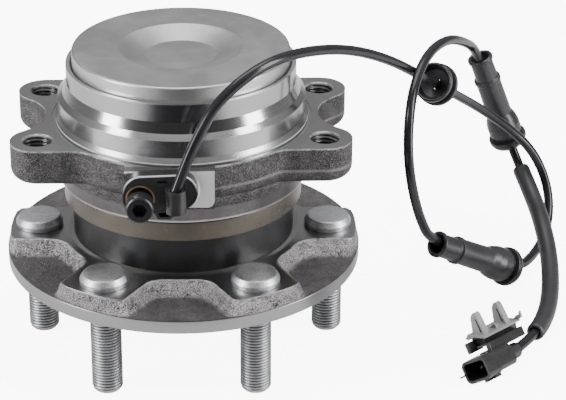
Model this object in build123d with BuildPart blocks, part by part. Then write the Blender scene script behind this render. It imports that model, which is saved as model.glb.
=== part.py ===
"""Third-generation wheel hub bearing with a wheel speed sensor and its lead.

The wheel axis is Z and points up. The unit stands on the tips of its six wheel studs, which
touch Z 0. The forged housing carries four threaded ears that bolt to the knuckle, and its
sensor pad faces -Y. The hub, the inner ring and both ball rows turn inside the housing.
All lengths are millimetres.
"""

import math
import os

from build123d import *

os.makedirs("parts", exist_ok=True)

# Wheel studs, M12 x 1.25 on a six-hole circle
stud_count = 6
stud_circle_diameter = 114.3
stud_radius = 6.0
stud_reach = 34.92
stud_tip_chamfer = 1.5
knurl_radius = 6.35
stud_head_radius = 9.3
stud_head_height = 4.2
stud_head_bevel = 1.3
hub_turn = -1.3

# Wheel flange of the hub, with forged pockets between the stud pads
flange_radius = 69.67
flange_rim = 5.36
flange_thickness = 11.48
plateau_radius = 48.0
pad_half_width = 14.5
pad_reach = 68.9
pad_corner = 5.0
pad_draft = 8.0
pad_edge_chamfer = 0.8
pilot_radius = 33.0
pilot_height = 10.0
pilot_chamfer = 1.2

# Hollow that lightens the hub from the wheel side
hollow_radius = 27.0
hollow_straight = 20.0
hollow_neck_radius = 20.0
hollow_neck_rise = 14.0
hollow_tip_radius = 12.0
hollow_tip_rise = 8.0

# Turned neck of the hub above the flange
seat_radius = 45.0
seat_height = 0.6
neck_radius = 42.2
neck_height = 13.8
neck_chamfer = 0.8
seal_land_radius = 33.5
seal_land_height = 6.1

# Dust sleeve pressed on the hub neck
sleeve_wall = 1.2
sleeve_above_neck = 1.0
sleeve_rounding = 0.6

# Two rows of balls and their raceways
ball_radius = 6.35
ball_count = 14
row_radius = 34.5
row_spacing = 26.0
groove_gap = 0.3
mid_above_flange = 41.6
race_shoulder = 2.5
inner_land_lift = 0.25
outer_mouth_margin = 0.15

# Inner ring, and the spindle end that is rolled over it
spindle_radius = 24.0
inner_ring_half_width = 8.4
bead_radius = 28.2
bead_height = 3.6
bead_rounding = 1.5
end_recess_radius = 12.0
end_recess_depth = 6.0

# Ball cages
cage_half_wall = 2.1
cage_back_reach = 1.5
cage_front_reach = 3.8

# Speed encoder ring between the rows
encoder_wall = 6.8
encoder_height = 7.2
encoder_teeth = 40
encoder_tooth_depth = 1.8
encoder_slot_width = 2.6

# Turned outside of the bearing housing, from the wheel side up
housing_above_flange = 15.44
lower_barrel_wall = 2.8
lower_barrel_height = 8.66
collar_radius = 48.0
neck_rise = 8.5
neck_top_radius = 49.5
ear_plate_thickness = 15.16
relief_inner = 48.9
relief_outer = 50.3
relief_depth = 0.46
relief_fillet_height = 1.04
pilot_land_radius = 47.8
pilot_land_foot = 2.64
pilot_land_height = 6.76
shoulder_radius = 46.0
shoulder_rise = 2.09
cone_rise = 3.95
spigot_wall = 2.34
spigot_height = 7.04

# Bore of the housing
seal_bore_step = 1.2
cap_bore_step = 1.0
seal_bore_depth = 4.96
cap_bore_depth = 8.64
cap_bore_chamfer = 0.9

# Outline of the ear plate
ear_x = 54.41
ear_y = 24.31
ear_radius = 10.5
ear_tap_radius = 5.25
ear_hole_chamfer = 0.8
waist_radius = 19.8
body_radius = 50.8
outline_fillet = 8.0
forging_rounding = 5.0
sensor_pad_distance = 54.1
sensor_pad_left = -20.8
sensor_pad_right = 12.4
sensor_pad_depth = 14.0

# Dust ring pressed on the lower barrel
dust_ring_wall = 1.5
dust_ring_height = 7.55
dust_ring_rounding = 0.4

# Outboard seal
seal_case_wall = 0.9
seal_case_height = 4.6
slinger_wall = 0.9
slinger_neck_gap = 1.7
slinger_flange_thickness = 1.0
slinger_setback = 0.2
lip_gap = 0.4
lip_edge_gap = 1.8
lip_root = 1.8
lip_drop = 1.0
lip_blade = 0.7
lip_body_thickness = 1.5
seal_case_edge = 1.4

# Pressed steel end cap
cap_wall = 1.4
cap_height = 14.25
cap_edge_rounding = 1.2
cap_flat_radius = 23.8
cap_dish_radius = 13.8
cap_dish_depth = 3.3

# Wheel speed sensor, with X and Z places of its probe, cable boss and bush
probe_x = -1.0
probe_z = 88.0
probe_radius = 5.7
probe_bore_radius = 6.0
probe_air_gap = 0.8
sensor_plate_thickness = 4.4
plate_end_x = -14.2
plate_end_z = 87.6
plate_end_radius = 7.3
bush_boss_wall = 1.2
oring_section = 0.65
oring_setback = 5.0
boss_x = -1.9
boss_distance = 62.3
boss_radius = 3.8
boss_foot = 82.0
boss_top = 91.0
boss_mouth_radius = 3.0
boss_mouth_depth = 1.6
bush_x = -15.0
bush_z = 85.5
bush_outer = 5.4
bush_bore = 3.3
web_outline = [(-10.6, 81.0), (-8.6, 77.1), (-4.1, 77.1), (-1.4, 79.4), (-1.4, 81.0)]
web_wall = 0.9
core_slot_place = (-6.8, 92.2)
core_slot_width = 3.6
core_slot_height = 0.8

# Socket head screw of the sensor
screw_radius = 3.0
screw_head_radius = 5.1
screw_head_height = 6.0
screw_head_stand = 4.1
screw_thread_depth = 11.0
screw_socket_radius = 2.9
screw_socket_depth = 3.4
screw_edge_chamfer = 0.6

# Lead and the sleeve and grommets threaded on it
lead_radius = 2.0
lead_gap = 0.3
sleeve_radius = 3.7
sleeve_start_from_connector = 128.0
sleeve_end_from_connector = 17.0
grommet_bore = 2.35
grommet_mouth_depth = 12.0
long_grommet_length = 46.2
long_grommet_mouth = 4.7
short_grommet_length = 7.2
short_grommet_dish = 2.6

# Lead route by hand, from the sensor boss to the back of the connector
first_arch = [
    (-2.1, -62.4, 89.8),
    (1.5, -61.5, 99.7),
    (6.1, -58.5, 109.8),
    (12.4, -53.0, 119.6),
    (21.5, -47.6, 127.0),
    (33.7, -38.4, 131.5),
    (48.3, -24.0, 129.6),
    (64.5, -5.5, 122.5),
    (80.8, 13.2, 110.7),
]
short_grommet_run = [(95.3, 30.3, 96.6), (111.0, 54.0, 79.0)]
first_drop = [
    (126.5, 73.0, 63.0),
    (140.5, 81.0, 50.0),
    (150.8, 83.0, 39.0),
    (157.0, 81.0, 27.0),
    (158.8, 74.5, 16.0),
    (156.2, 65.0, 8.1),
    (150.3, 52.7, 4.2),
]
lower_grommet_run = [(139.1, 30.5, 7.6), (99.9, 5.6, 33.7)]
second_arch = [
    (94.2, 0.5, 46.8),
    (90.3, -0.5, 62.0),
    (88.6, 1.0, 75.7),
    (89.1, 6.3, 88.4),
    (91.7, 16.5, 98.2),
    (98.1, 32.2, 105.0),
    (107.9, 50.0, 104.4),
    (117.4, 68.0, 95.9),
]
upper_grommet_run = [(125.5, 88.0, 84.0), (143.5, 95.5, 35.0)]
last_drop = [
    (150.9, 73.0, 21.0),
    (152.5, 55.5, 17.5),
    (153.4, 38.1, 11.5),
    (151.8, 18.8, 6.9),
    (147.6, -1.5, 5.1),
    (140.0, -20.0, 4.8),
    (130.4, -32.7, 5.2),
]

# Where each grommet starts along its run of the lead
short_grommet_start = 12.8
lower_grommet_start = 2.7
upper_grommet_start = 3.6

# Connector, measured back from its mouth and turned about its own axis
mouth_centre = (112.4, -51.7, 7.0)
connector_roll = 35.0
mouth_width = 12.8
mouth_height = 9.2
mouth_corner = 2.6
mouth_wall = 1.15
collar_length = 8.0
socket_depth = 12.0
body_width = 11.6
body_height = 8.2
body_corner = 2.2
body_length = 18.5
tail_radius = 3.2
tail_seal_radius = 2.6
tail_seal_length = 6.0
pin_width = 1.5
pin_thickness = 0.7
pin_length = 6.0
pin_pitch = 4.4
guide_ridge = ((3.5, 4.4), (3.6, 4.7), (6.4, 18.5))
front_nib = ((-6.9, -6.2), (-0.9, -0.2), (-2.4, 3.0))
key_rib = ((4.2, 5.6), (-1.3, 1.3), (1.5, 12.0))
lock_tabs = (
    ((0.4, 2.2), (-5.8, -4.2), (2.0, 5.0)),
    ((2.6, 4.6), (-5.6, -3.4), (4.4, 8.0)),
)

# Clip holder on the connector and the clip that slides on it, in the frame of the mouth:
# across, up and back are measured from the centre of the mouth
clip_roll = 16.0
holder_rail = ((-3.4, 3.4), (4.1, 7.8), (9.5, 31.5))
holder_window = ((-3.4, 1.2), (4.9, 6.9), (9.5, 18.4))
holder_bar = ((-9.6, -3.2), (6.4, 9.6), (12.0, 33.0))
holder_hook = ((-6.8, -5.0), (6.0, 10.4), (7.2, 15.0))
clip_plate = ((-10.6, -1.8), (9.6, 10.5), (10.5, 34.0))
prong_backs = (14.0, 28.0)
prong_depth = 3.0
prong_outline = [
    (-9.3, 10.5),
    (-9.3, 16.9),
    (-8.4, 18.6),
    (-7.4, 19.1),
    (-6.3, 18.2),
    (-3.0, 10.5),
]
prong_slit = [(-7.2, 16.6), (-6.6, 16.6), (-4.3, 11.2), (-5.3, 11.2)]
clip_tab_thickness = 1.2
front_wing_back = 10.5
front_wing = [(-10.6, 9.9), (-11.8, 8.7), (-10.4, 8.1), (-8.4, 8.9), (-7.0, 9.9)]
middle_tab_back = 20.4
middle_tab = [(-6.8, 10.3), (-5.0, 12.4), (-3.6, 12.0), (-3.2, 10.3)]
rear_tab_back = 32.8
rear_tab = [(-4.6, 10.3), (-2.6, 12.2), (-1.9, 11.6), (-0.9, 14.2), (-0.3, 11.4), (-1.9, 10.3)]

# Levels along the wheel axis
wheel_face = stud_reach
rim_top = wheel_face + flange_rim
flange_back = wheel_face + flange_thickness
neck_top = flange_back + neck_height
bearing_mid = flange_back + mid_above_flange
outboard_row = bearing_mid - row_spacing / 2
inboard_row = bearing_mid + row_spacing / 2
inner_ring_foot = inboard_row - inner_ring_half_width
inner_ring_top = inboard_row + inner_ring_half_width
housing_base = flange_back + housing_above_flange
collar_base = housing_base + lower_barrel_height
ear_plate_bottom = collar_base + neck_rise
knuckle_face = ear_plate_bottom + ear_plate_thickness
land_foot = knuckle_face + pilot_land_foot
land_top = land_foot + pilot_land_height
spigot_foot = land_top + shoulder_rise + cone_rise
housing_top = spigot_foot + spigot_height
cap_seat = housing_top - cap_bore_depth

# Radii that follow from the ball rows, from the raceways outwards
groove_radius = ball_radius + groove_gap
inner_shoulder = row_radius - race_shoulder
outer_shoulder = row_radius + race_shoulder
inner_land = row_radius - ball_radius + inner_land_lift
outer_mouth = row_radius + ball_radius + outer_mouth_margin
cap_radius = outer_mouth + cap_bore_step
spigot_radius = cap_radius + spigot_wall
seal_bore_radius = outer_mouth + seal_bore_step
lower_barrel_radius = seal_bore_radius + lower_barrel_wall
cage_inner = row_radius - cage_half_wall
cage_outer = row_radius + cage_half_wall
cage_back = ball_radius + cage_back_reach
encoder_outer = inner_land + encoder_wall
case_inside = seal_bore_radius - seal_case_wall
slinger_sleeve_radius = seal_land_radius + slinger_wall
slinger_flange_radius = neck_radius - slinger_neck_gap
lip_tip = slinger_sleeve_radius + lip_gap
seal_case_inner = lip_tip + seal_case_edge
lead_route = (
    first_arch + short_grommet_run + first_drop + lower_grommet_run
    + second_arch + upper_grommet_run + last_drop
)


def finish_part(builder, name):
    """Label a finished piece and write it as its own STEP file."""
    builder.part.label = name
    export_step(builder.part, f"parts/{name}.step")


def half_section(points, plane=Plane.XZ):
    """Closed half-section, given as radius and height, on a plane through the turning axis."""
    with BuildSketch(plane) as section:
        with BuildLine():
            Polyline(*points, close=True)
        make_face()
    return section.sketch


def race_section(points, row):
    """Half-section of a ring with the round ball groove of one row cut into it."""
    with BuildSketch(Plane.XZ) as section:
        with BuildLine():
            Polyline(*points, close=True)
        make_face()
        with Locations((row_radius, row)):
            Circle(groove_radius, mode=Mode.SUBTRACT)
    return section.sketch


# Hub with its wheel flange, pilot, neck, outboard raceway and spindle
hub_outside = [
    (0, wheel_face - pilot_height),
    (pilot_radius - pilot_chamfer, wheel_face - pilot_height),
    (pilot_radius, wheel_face - pilot_height + pilot_chamfer),
    (pilot_radius, wheel_face),
    (flange_radius, wheel_face),
    (flange_radius, rim_top),
    (seat_radius, rim_top),
    (seat_radius, flange_back + seat_height),
    (neck_radius, flange_back + seat_height),
    (neck_radius, neck_top - neck_chamfer),
    (neck_radius - neck_chamfer, neck_top),
    (seal_land_radius, neck_top),
    (seal_land_radius, neck_top + seal_land_height),
    (inner_shoulder, neck_top + seal_land_height + neck_chamfer),
    (inner_shoulder, outboard_row),
    (inner_land, outboard_row),
    (inner_land, inner_ring_foot),
    (spindle_radius, inner_ring_foot),
    (spindle_radius, inner_ring_top),
    (bead_radius, inner_ring_top),
    (bead_radius, inner_ring_top + bead_height - bead_rounding),
    (bead_radius - bead_rounding, inner_ring_top + bead_height),
    (end_recess_radius + bead_rounding, inner_ring_top + bead_height),
    (end_recess_radius, inner_ring_top + bead_height - bead_rounding),
    (end_recess_radius, inner_ring_top + bead_height - end_recess_depth),
    (0, inner_ring_top + bead_height - end_recess_depth),
]
hollow_foot = wheel_face - pilot_height
hollow_outline = [
    (0, hollow_foot),
    (hollow_radius, hollow_foot),
    (hollow_radius, hollow_foot + hollow_straight),
    (hollow_neck_radius, hollow_foot + hollow_straight + hollow_neck_rise),
    (hollow_tip_radius, hollow_foot + hollow_straight + hollow_neck_rise + hollow_tip_rise),
    (0, hollow_foot + hollow_straight + hollow_neck_rise + hollow_tip_rise),
]

with BuildPart() as hub_flange:
    with BuildSketch(Plane.XY.offset(rim_top)) as stud_pads:
        Circle(plateau_radius)
        with PolarLocations(0, stud_count, start_angle=hub_turn):
            Rectangle(pad_reach, 2 * pad_half_width, align=(Align.MIN, Align.CENTER))
        Circle(pad_reach, mode=Mode.INTERSECT)
        pocket_corners = stud_pads.vertices().filter_by(
            lambda v: abs(math.hypot(v.X, v.Y) - plateau_radius) < 0.01
        )
        fillet(pocket_corners, pad_corner)
    extrude(amount=flange_thickness - flange_rim, taper=pad_draft)
    chamfer(edges().group_by(Axis.Z)[-1], pad_edge_chamfer)
    revolve(race_section(hub_outside, outboard_row), axis=Axis.Z)
    revolve(half_section(hollow_outline), axis=Axis.Z, mode=Mode.SUBTRACT)
    with Locations(Plane.XY.offset(wheel_face)):
        with PolarLocations(stud_circle_diameter / 2, stud_count, start_angle=hub_turn):
            Cylinder(
                knurl_radius,
                flange_thickness,
                align=(Align.CENTER, Align.CENTER, Align.MIN),
                mode=Mode.SUBTRACT,
            )
finish_part(hub_flange, "hub_flange")

# Wheel studs: shank, knurl pressed in the flange, and the bevelled round head on its pad
stud_outline = [
    (0, 0),
    (stud_radius - stud_tip_chamfer, 0),
    (stud_radius, stud_tip_chamfer),
    (stud_radius, wheel_face),
    (knurl_radius, wheel_face),
    (knurl_radius, flange_back),
    (stud_head_radius, flange_back),
    (stud_head_radius, flange_back + stud_head_height / 2),
    (stud_head_radius - stud_head_bevel, flange_back + stud_head_height),
    (0, flange_back + stud_head_height),
]
with BuildPart(Plane.XY) as one_stud:
    revolve(half_section(stud_outline), axis=Axis.Z)
with BuildPart() as wheel_studs:
    with PolarLocations(stud_circle_diameter / 2, stud_count, start_angle=hub_turn):
        add(one_stud.part)
finish_part(wheel_studs, "wheel_studs")

# Dust sleeve over the hub neck
sleeve_foot = flange_back + seat_height
sleeve_top = neck_top + sleeve_above_neck
with BuildPart() as dust_sleeve:
    revolve(
        half_section([
            (neck_radius, sleeve_foot),
            (neck_radius + sleeve_wall, sleeve_foot),
            (neck_radius + sleeve_wall, sleeve_top - sleeve_rounding),
            (neck_radius + sleeve_wall - sleeve_rounding, sleeve_top),
            (neck_radius, sleeve_top),
        ]),
        axis=Axis.Z,
    )
finish_part(dust_sleeve, "dust_sleeve")

# Slinger of the outboard seal, pressed on the seal land of the hub
slinger_top = neck_top + seal_land_height - slinger_setback
with BuildPart() as seal_slinger:
    revolve(
        half_section([
            (seal_land_radius, neck_top),
            (slinger_flange_radius, neck_top),
            (slinger_flange_radius, neck_top + slinger_flange_thickness),
            (slinger_sleeve_radius, neck_top + slinger_flange_thickness),
            (slinger_sleeve_radius, slinger_top),
            (seal_land_radius, slinger_top),
        ]),
        axis=Axis.Z,
    )
finish_part(seal_slinger, "seal_slinger")

# Toothed encoder ring pressed on the hub between the rows
encoder_foot = bearing_mid - encoder_height / 2
with BuildPart(Plane.XY.offset(encoder_foot)) as encoder_ring:
    Cylinder(encoder_outer, encoder_height, align=(Align.CENTER, Align.CENTER, Align.MIN))
    Cylinder(
        inner_land,
        encoder_height,
        align=(Align.CENTER, Align.CENTER, Align.MIN),
        mode=Mode.SUBTRACT,
    )
    with PolarLocations(encoder_outer, encoder_teeth):
        Box(
            2 * encoder_tooth_depth,
            encoder_slot_width,
            encoder_height,
            align=(Align.CENTER, Align.CENTER, Align.MIN),
            mode=Mode.SUBTRACT,
        )
finish_part(encoder_ring, "encoder_ring")

# Inner ring of the inboard row
with BuildPart() as inner_ring:
    revolve(
        race_section(
            [
                (spindle_radius, inner_ring_foot),
                (inner_land, inner_ring_foot),
                (inner_land, inboard_row),
                (inner_shoulder, inboard_row),
                (inner_shoulder, inner_ring_top),
                (spindle_radius, inner_ring_top),
            ],
            inboard_row,
        ),
        axis=Axis.Z,
    )
finish_part(inner_ring, "inner_ring")

# Both ball rows, each with a crown cage whose open side faces the middle of the bearing
for row_name, row, foot, top in (
    ("outboard", outboard_row, outboard_row - cage_back, outboard_row + cage_front_reach),
    ("inboard", inboard_row, inboard_row - cage_front_reach, inboard_row + cage_back),
):
    with BuildPart(Plane.XY.offset(row)) as balls:
        with PolarLocations(row_radius, ball_count):
            Sphere(ball_radius)
    finish_part(balls, f"{row_name}_balls")
    with BuildPart() as cage:
        revolve(
            half_section([(cage_inner, foot), (cage_outer, foot), (cage_outer, top), (cage_inner, top)]),
            axis=Axis.Z,
        )
        with Locations(Plane.XY.offset(row)):
            with PolarLocations(row_radius, ball_count):
                Sphere(groove_radius, mode=Mode.SUBTRACT)
    finish_part(cage, f"{row_name}_cage")

# Housing: forged ear plate, turned barrels and the bore with both outer raceways
housing_outside = [
    (0, housing_base),
    (lower_barrel_radius, housing_base),
    (lower_barrel_radius, collar_base),
    (collar_radius, collar_base),
    (neck_top_radius, ear_plate_bottom),
    (relief_inner, knuckle_face - relief_depth),
    (relief_inner, knuckle_face + relief_fillet_height),
    (pilot_land_radius, land_foot),
    (pilot_land_radius, land_top),
    (shoulder_radius, land_top + shoulder_rise),
    (spigot_radius, spigot_foot),
    (spigot_radius, housing_top),
    (0, housing_top),
]
housing_bore = [
    (0, housing_base),
    (seal_bore_radius, housing_base),
    (seal_bore_radius, housing_base + seal_bore_depth),
    (outer_mouth, housing_base + seal_bore_depth),
    (outer_mouth, outboard_row),
    (outer_shoulder, outboard_row),
    (outer_shoulder, inboard_row),
    (outer_mouth, inboard_row),
    (outer_mouth, cap_seat),
    (cap_radius, cap_seat),
    (cap_radius, housing_top - cap_bore_chamfer),
    (cap_radius + cap_bore_chamfer, housing_top),
    (0, housing_top),
]
pad_plane = Plane(origin=(0, -sensor_pad_distance, 0), x_dir=(1, 0, 0), z_dir=(0, -1, 0))
ear_edge = ear_y + ear_radius
ear_to_waist = ear_radius + waist_radius
waist_x = ear_x + math.sqrt(ear_to_waist**2 - ear_y**2)
waist_tangent_x = ear_x + (waist_x - ear_x) * ear_radius / ear_to_waist
waist_tangent_y = ear_y * waist_radius / ear_to_waist
body_corner_x = math.sqrt(body_radius**2 - ear_edge**2)

with BuildPart() as outer_ring:
    with BuildSketch(Plane.XY.offset(ear_plate_bottom)) as ear_outline:
        Rectangle(2 * ear_x, 2 * ear_edge)
        with GridLocations(2 * ear_x, 2 * ear_y, 2, 2):
            Circle(ear_radius)
        Rectangle(2 * waist_tangent_x, 2 * waist_tangent_y)
        with GridLocations(2 * waist_x, 0, 2, 1):
            Circle(waist_radius, mode=Mode.SUBTRACT)
        Circle(body_radius)
        body_corners = ear_outline.vertices().filter_by(
            lambda v: abs(abs(v.X) - body_corner_x) < 0.01 and abs(abs(v.Y) - ear_edge) < 0.01
        )
        fillet(body_corners, outline_fillet)
    extrude(amount=ear_plate_thickness)
    fillet(edges().group_by(Axis.Z)[0], forging_rounding)
    with BuildSketch(Plane.XY.offset(knuckle_face)):
        with Locations((sensor_pad_left, -sensor_pad_distance)):
            Rectangle(
                sensor_pad_right - sensor_pad_left,
                sensor_pad_depth,
                align=(Align.MIN, Align.MIN),
            )
    extrude(amount=-ear_plate_thickness)
    with Locations(Plane.XY.offset(knuckle_face)):
        Cylinder(
            relief_outer,
            relief_depth,
            align=(Align.CENTER, Align.CENTER, Align.MAX),
            mode=Mode.SUBTRACT,
        )
    revolve(half_section(housing_outside), axis=Axis.Z)
    with BuildSketch(Plane.XZ) as bore_section:
        with BuildLine():
            Polyline(*housing_bore, close=True)
        make_face()
        with Locations((row_radius, outboard_row), (row_radius, inboard_row)):
            Circle(groove_radius)
        with Locations((0, bearing_mid)):
            Rectangle(outer_shoulder, row_spacing, align=(Align.MIN, Align.CENTER))
    revolve(axis=Axis.Z, mode=Mode.SUBTRACT)
    with Locations(Plane.XY.offset(knuckle_face)):
        with GridLocations(2 * ear_x, 2 * ear_y, 2, 2):
            CounterSinkHole(
                ear_tap_radius,
                ear_tap_radius + ear_hole_chamfer,
                depth=ear_plate_thickness,
                counter_sink_angle=90,
            )
    with BuildSketch(pad_plane):
        with Locations((probe_x, probe_z)):
            Circle(probe_bore_radius)
    extrude(amount=-(sensor_pad_distance - spindle_radius), mode=Mode.SUBTRACT)
    with BuildSketch(pad_plane):
        with Locations((bush_x, bush_z)):
            Circle(screw_radius)
    extrude(amount=-screw_thread_depth, mode=Mode.SUBTRACT)
finish_part(outer_ring, "outer_ring")

# Dust ring on the lower barrel
dust_ring_outer = lower_barrel_radius + dust_ring_wall
with BuildPart() as dust_ring:
    revolve(
        half_section([
            (lower_barrel_radius, housing_base),
            (dust_ring_outer - dust_ring_rounding, housing_base),
            (dust_ring_outer, housing_base + dust_ring_rounding),
            (dust_ring_outer, housing_base + dust_ring_height),
            (lower_barrel_radius, housing_base + dust_ring_height),
        ]),
        axis=Axis.Z,
    )
finish_part(dust_ring, "dust_ring")

# Steel case and rubber lip of the outboard seal
case_top = housing_base + seal_bore_depth
case_foot = case_top - seal_case_height
case_web = case_top - seal_case_wall
lip_body_foot = case_web - lip_body_thickness
axial_lip_root = case_inside - lip_edge_gap
axial_lip_tip = axial_lip_root - lip_blade
axial_lip_foot = neck_top + slinger_flange_thickness + lip_gap
with BuildPart() as outboard_seal_case:
    revolve(
        half_section([
            (case_inside, case_foot),
            (seal_bore_radius, case_foot),
            (seal_bore_radius, case_top),
            (seal_case_inner, case_top),
            (seal_case_inner, case_web),
            (case_inside, case_web),
        ]),
        axis=Axis.Z,
    )
finish_part(outboard_seal_case, "outboard_seal_case")
with BuildPart() as outboard_seal_lip:
    revolve(
        half_section([
            (case_inside, case_web),
            (case_inside, lip_body_foot),
            (axial_lip_root, lip_body_foot),
            (axial_lip_tip, axial_lip_foot),
            (axial_lip_tip - lip_blade, axial_lip_foot),
            (axial_lip_root - 2 * lip_blade, lip_body_foot),
            (lip_tip + lip_root, lip_body_foot),
            (lip_tip, lip_body_foot - lip_drop),
            (lip_tip, lip_body_foot),
            (seal_case_inner, case_web),
        ]),
        axis=Axis.Z,
    )
finish_part(outboard_seal_lip, "outboard_seal_lip")

# Pressed end cap with its shallow round dish
cap_top = cap_seat + cap_height
cap_rim_outer = cap_radius - cap_edge_rounding / 2
cap_outline = [
    (cap_radius, cap_seat),
    (cap_radius, cap_top - cap_edge_rounding),
    (cap_rim_outer, cap_top),
    (cap_flat_radius, cap_top),
    (cap_dish_radius, cap_top - cap_dish_depth),
    (0, cap_top - cap_dish_depth),
    (0, cap_top - cap_dish_depth - cap_wall),
    (cap_dish_radius, cap_top - cap_dish_depth - cap_wall),
    (cap_flat_radius, cap_top - cap_wall),
    (cap_radius - cap_wall, cap_top - cap_wall),
    (cap_radius - cap_wall, cap_seat),
]
with BuildPart() as end_cap:
    revolve(half_section(cap_outline), axis=Axis.Z)
finish_part(end_cap, "end_cap")

# Sensor body: oval plate, probe through the housing wall and the upright cable boss
plate_front = sensor_pad_distance + sensor_plate_thickness
probe_tip = encoder_outer + probe_air_gap
oring_inner = probe_bore_radius - 2 * oring_section
oring_distance = sensor_pad_distance - oring_setback
with BuildPart() as sensor_body:
    with BuildSketch(pad_plane):
        with Locations((plate_end_x, plate_end_z)):
            Circle(plate_end_radius)
        with Locations((bush_x, bush_z)):
            Circle(bush_outer + bush_boss_wall)
        with Locations((probe_x, probe_z)):
            Circle(plate_end_radius)
        make_hull()
    extrude(amount=sensor_plate_thickness)
    with BuildSketch(pad_plane) as web:
        with BuildLine():
            Polyline(*web_outline, close=True)
        make_face()
    extrude(amount=sensor_plate_thickness)
    web_opening = offset(web.sketch, -web_wall, mode=Mode.PRIVATE)
    extrude(web_opening, amount=sensor_plate_thickness, mode=Mode.SUBTRACT)
    with BuildSketch(pad_plane.offset(sensor_plate_thickness)):
        with Locations(core_slot_place):
            Rectangle(core_slot_width, core_slot_height)
    extrude(amount=-sensor_plate_thickness / 2, mode=Mode.SUBTRACT)
    with BuildSketch(pad_plane):
        with Locations((probe_x, probe_z)):
            Circle(probe_radius)
    extrude(amount=-(sensor_pad_distance - probe_tip))
    with BuildSketch(Plane.XY.offset(boss_foot)):
        with Locations((boss_x, -boss_distance)):
            Circle(boss_radius)
        with Locations((boss_x, -plate_front)):
            Rectangle(2 * boss_radius, 2 * (boss_distance - plate_front))
    extrude(amount=boss_top - boss_foot)
    with BuildSketch(pad_plane):
        with Locations((bush_x, bush_z)):
            Circle(bush_outer)
    extrude(amount=sensor_plate_thickness, mode=Mode.SUBTRACT)
    with BuildSketch(pad_plane.offset(-oring_setback + oring_section)):
        with Locations((probe_x, probe_z)):
            Circle(probe_bore_radius)
            Circle(oring_inner, mode=Mode.SUBTRACT)
    extrude(amount=-2 * oring_section, mode=Mode.SUBTRACT)
    with Locations((boss_x, -boss_distance, boss_top)):
        Cone(
            lead_radius,
            boss_mouth_radius,
            boss_mouth_depth,
            align=(Align.CENTER, Align.CENTER, Align.MAX),
            mode=Mode.SUBTRACT,
        )
finish_part(sensor_body, "sensor_body")

# Round rubber ring in the groove of the probe
with BuildPart(Plane(origin=(probe_x, -oring_distance, probe_z), z_dir=(0, -1, 0))) as sensor_oring:
    Torus(probe_bore_radius - oring_section, oring_section)
finish_part(sensor_oring, "sensor_oring")

# Brass bush in the plate
with BuildPart() as sensor_bush:
    with BuildSketch(pad_plane):
        with Locations((bush_x, bush_z)):
            Circle(bush_outer)
            Circle(bush_bore, mode=Mode.SUBTRACT)
    extrude(amount=sensor_plate_thickness)
finish_part(sensor_bush, "sensor_bush")

# Socket head screw, which stands a few turns out of its hole
head_back = sensor_plate_thickness + screw_head_stand
with BuildPart() as sensor_screw:
    with BuildSketch(pad_plane.offset(-screw_thread_depth)):
        with Locations((bush_x, bush_z)):
            Circle(screw_radius)
    extrude(amount=screw_thread_depth + head_back)
    with BuildSketch(pad_plane.offset(head_back)):
        with Locations((bush_x, bush_z)):
            Circle(screw_head_radius)
    extrude(amount=screw_head_height)
    chamfer(faces().sort_by(Axis.Y)[0].edges(), screw_edge_chamfer)
    with BuildSketch(pad_plane.offset(head_back + screw_head_height)):
        with Locations((bush_x, bush_z)):
            RegularPolygon(screw_socket_radius, 6)
    extrude(amount=-screw_socket_depth, mode=Mode.SUBTRACT)
finish_part(sensor_screw, "sensor_screw")


bend_share = 0.45


def bend_radii(route):
    """Widest arc that each corner of the route leaves room for."""
    radii = []
    for before, corner, after in zip(route, route[1:], route[2:]):
        run_in = Vector(*corner) - Vector(*before)
        run_out = Vector(*after) - Vector(*corner)
        half_turn = math.radians(run_in.get_angle(run_out)) / 2
        radii.append(bend_share * min(run_in.length, run_out.length) / math.tan(half_turn))
    return radii


# Lead from the sensor boss to the connector
lead_radii = bend_radii(lead_route)
with BuildPart() as sensor_lead:
    with BuildLine() as lead_line:
        FilletPolyline(*lead_route, radius=lead_radii)
    with BuildSketch(Plane(origin=lead_line.line @ 0, z_dir=lead_line.line % 0)):
        Circle(lead_radius)
    sweep()
finish_part(sensor_lead, "sensor_lead")
lead_wire = lead_line.wires()[0]
lead_length = lead_wire.length
lead_volume = math.pi * lead_radius**2 * lead_length
print("lead length", round(lead_length, 1))
print("lead radii", [round(radius, 1) for radius in lead_radii])
print("lead volume", round(sensor_lead.part.volume, 1), "of", round(lead_volume, 1))

# Protective sleeve round the last stretch of the lead
sleeve_line = lead_wire.trim(
    1 - sleeve_start_from_connector / lead_length, 1 - sleeve_end_from_connector / lead_length
)
with BuildPart() as lead_sleeve:
    with BuildSketch(Plane(origin=sleeve_line @ 0, z_dir=sleeve_line % 0)):
        Circle(sleeve_radius)
        Circle(lead_radius + lead_gap, mode=Mode.SUBTRACT)
    sweep(path=sleeve_line)
finish_part(lead_sleeve, "lead_sleeve")


def run_plane(run, start, reverse=False):
    """Half-section plane along one straight run: x is the radius and y the distance along it."""
    ends = [Vector(*point) for point in run]
    if reverse:
        ends.reverse()
    along = (ends[1] - ends[0]).normalized()
    across = along.cross(Vector(0, 0, 1)).normalized()
    return Plane(origin=ends[0] + along * start, x_dir=across, z_dir=across.cross(along))


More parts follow.
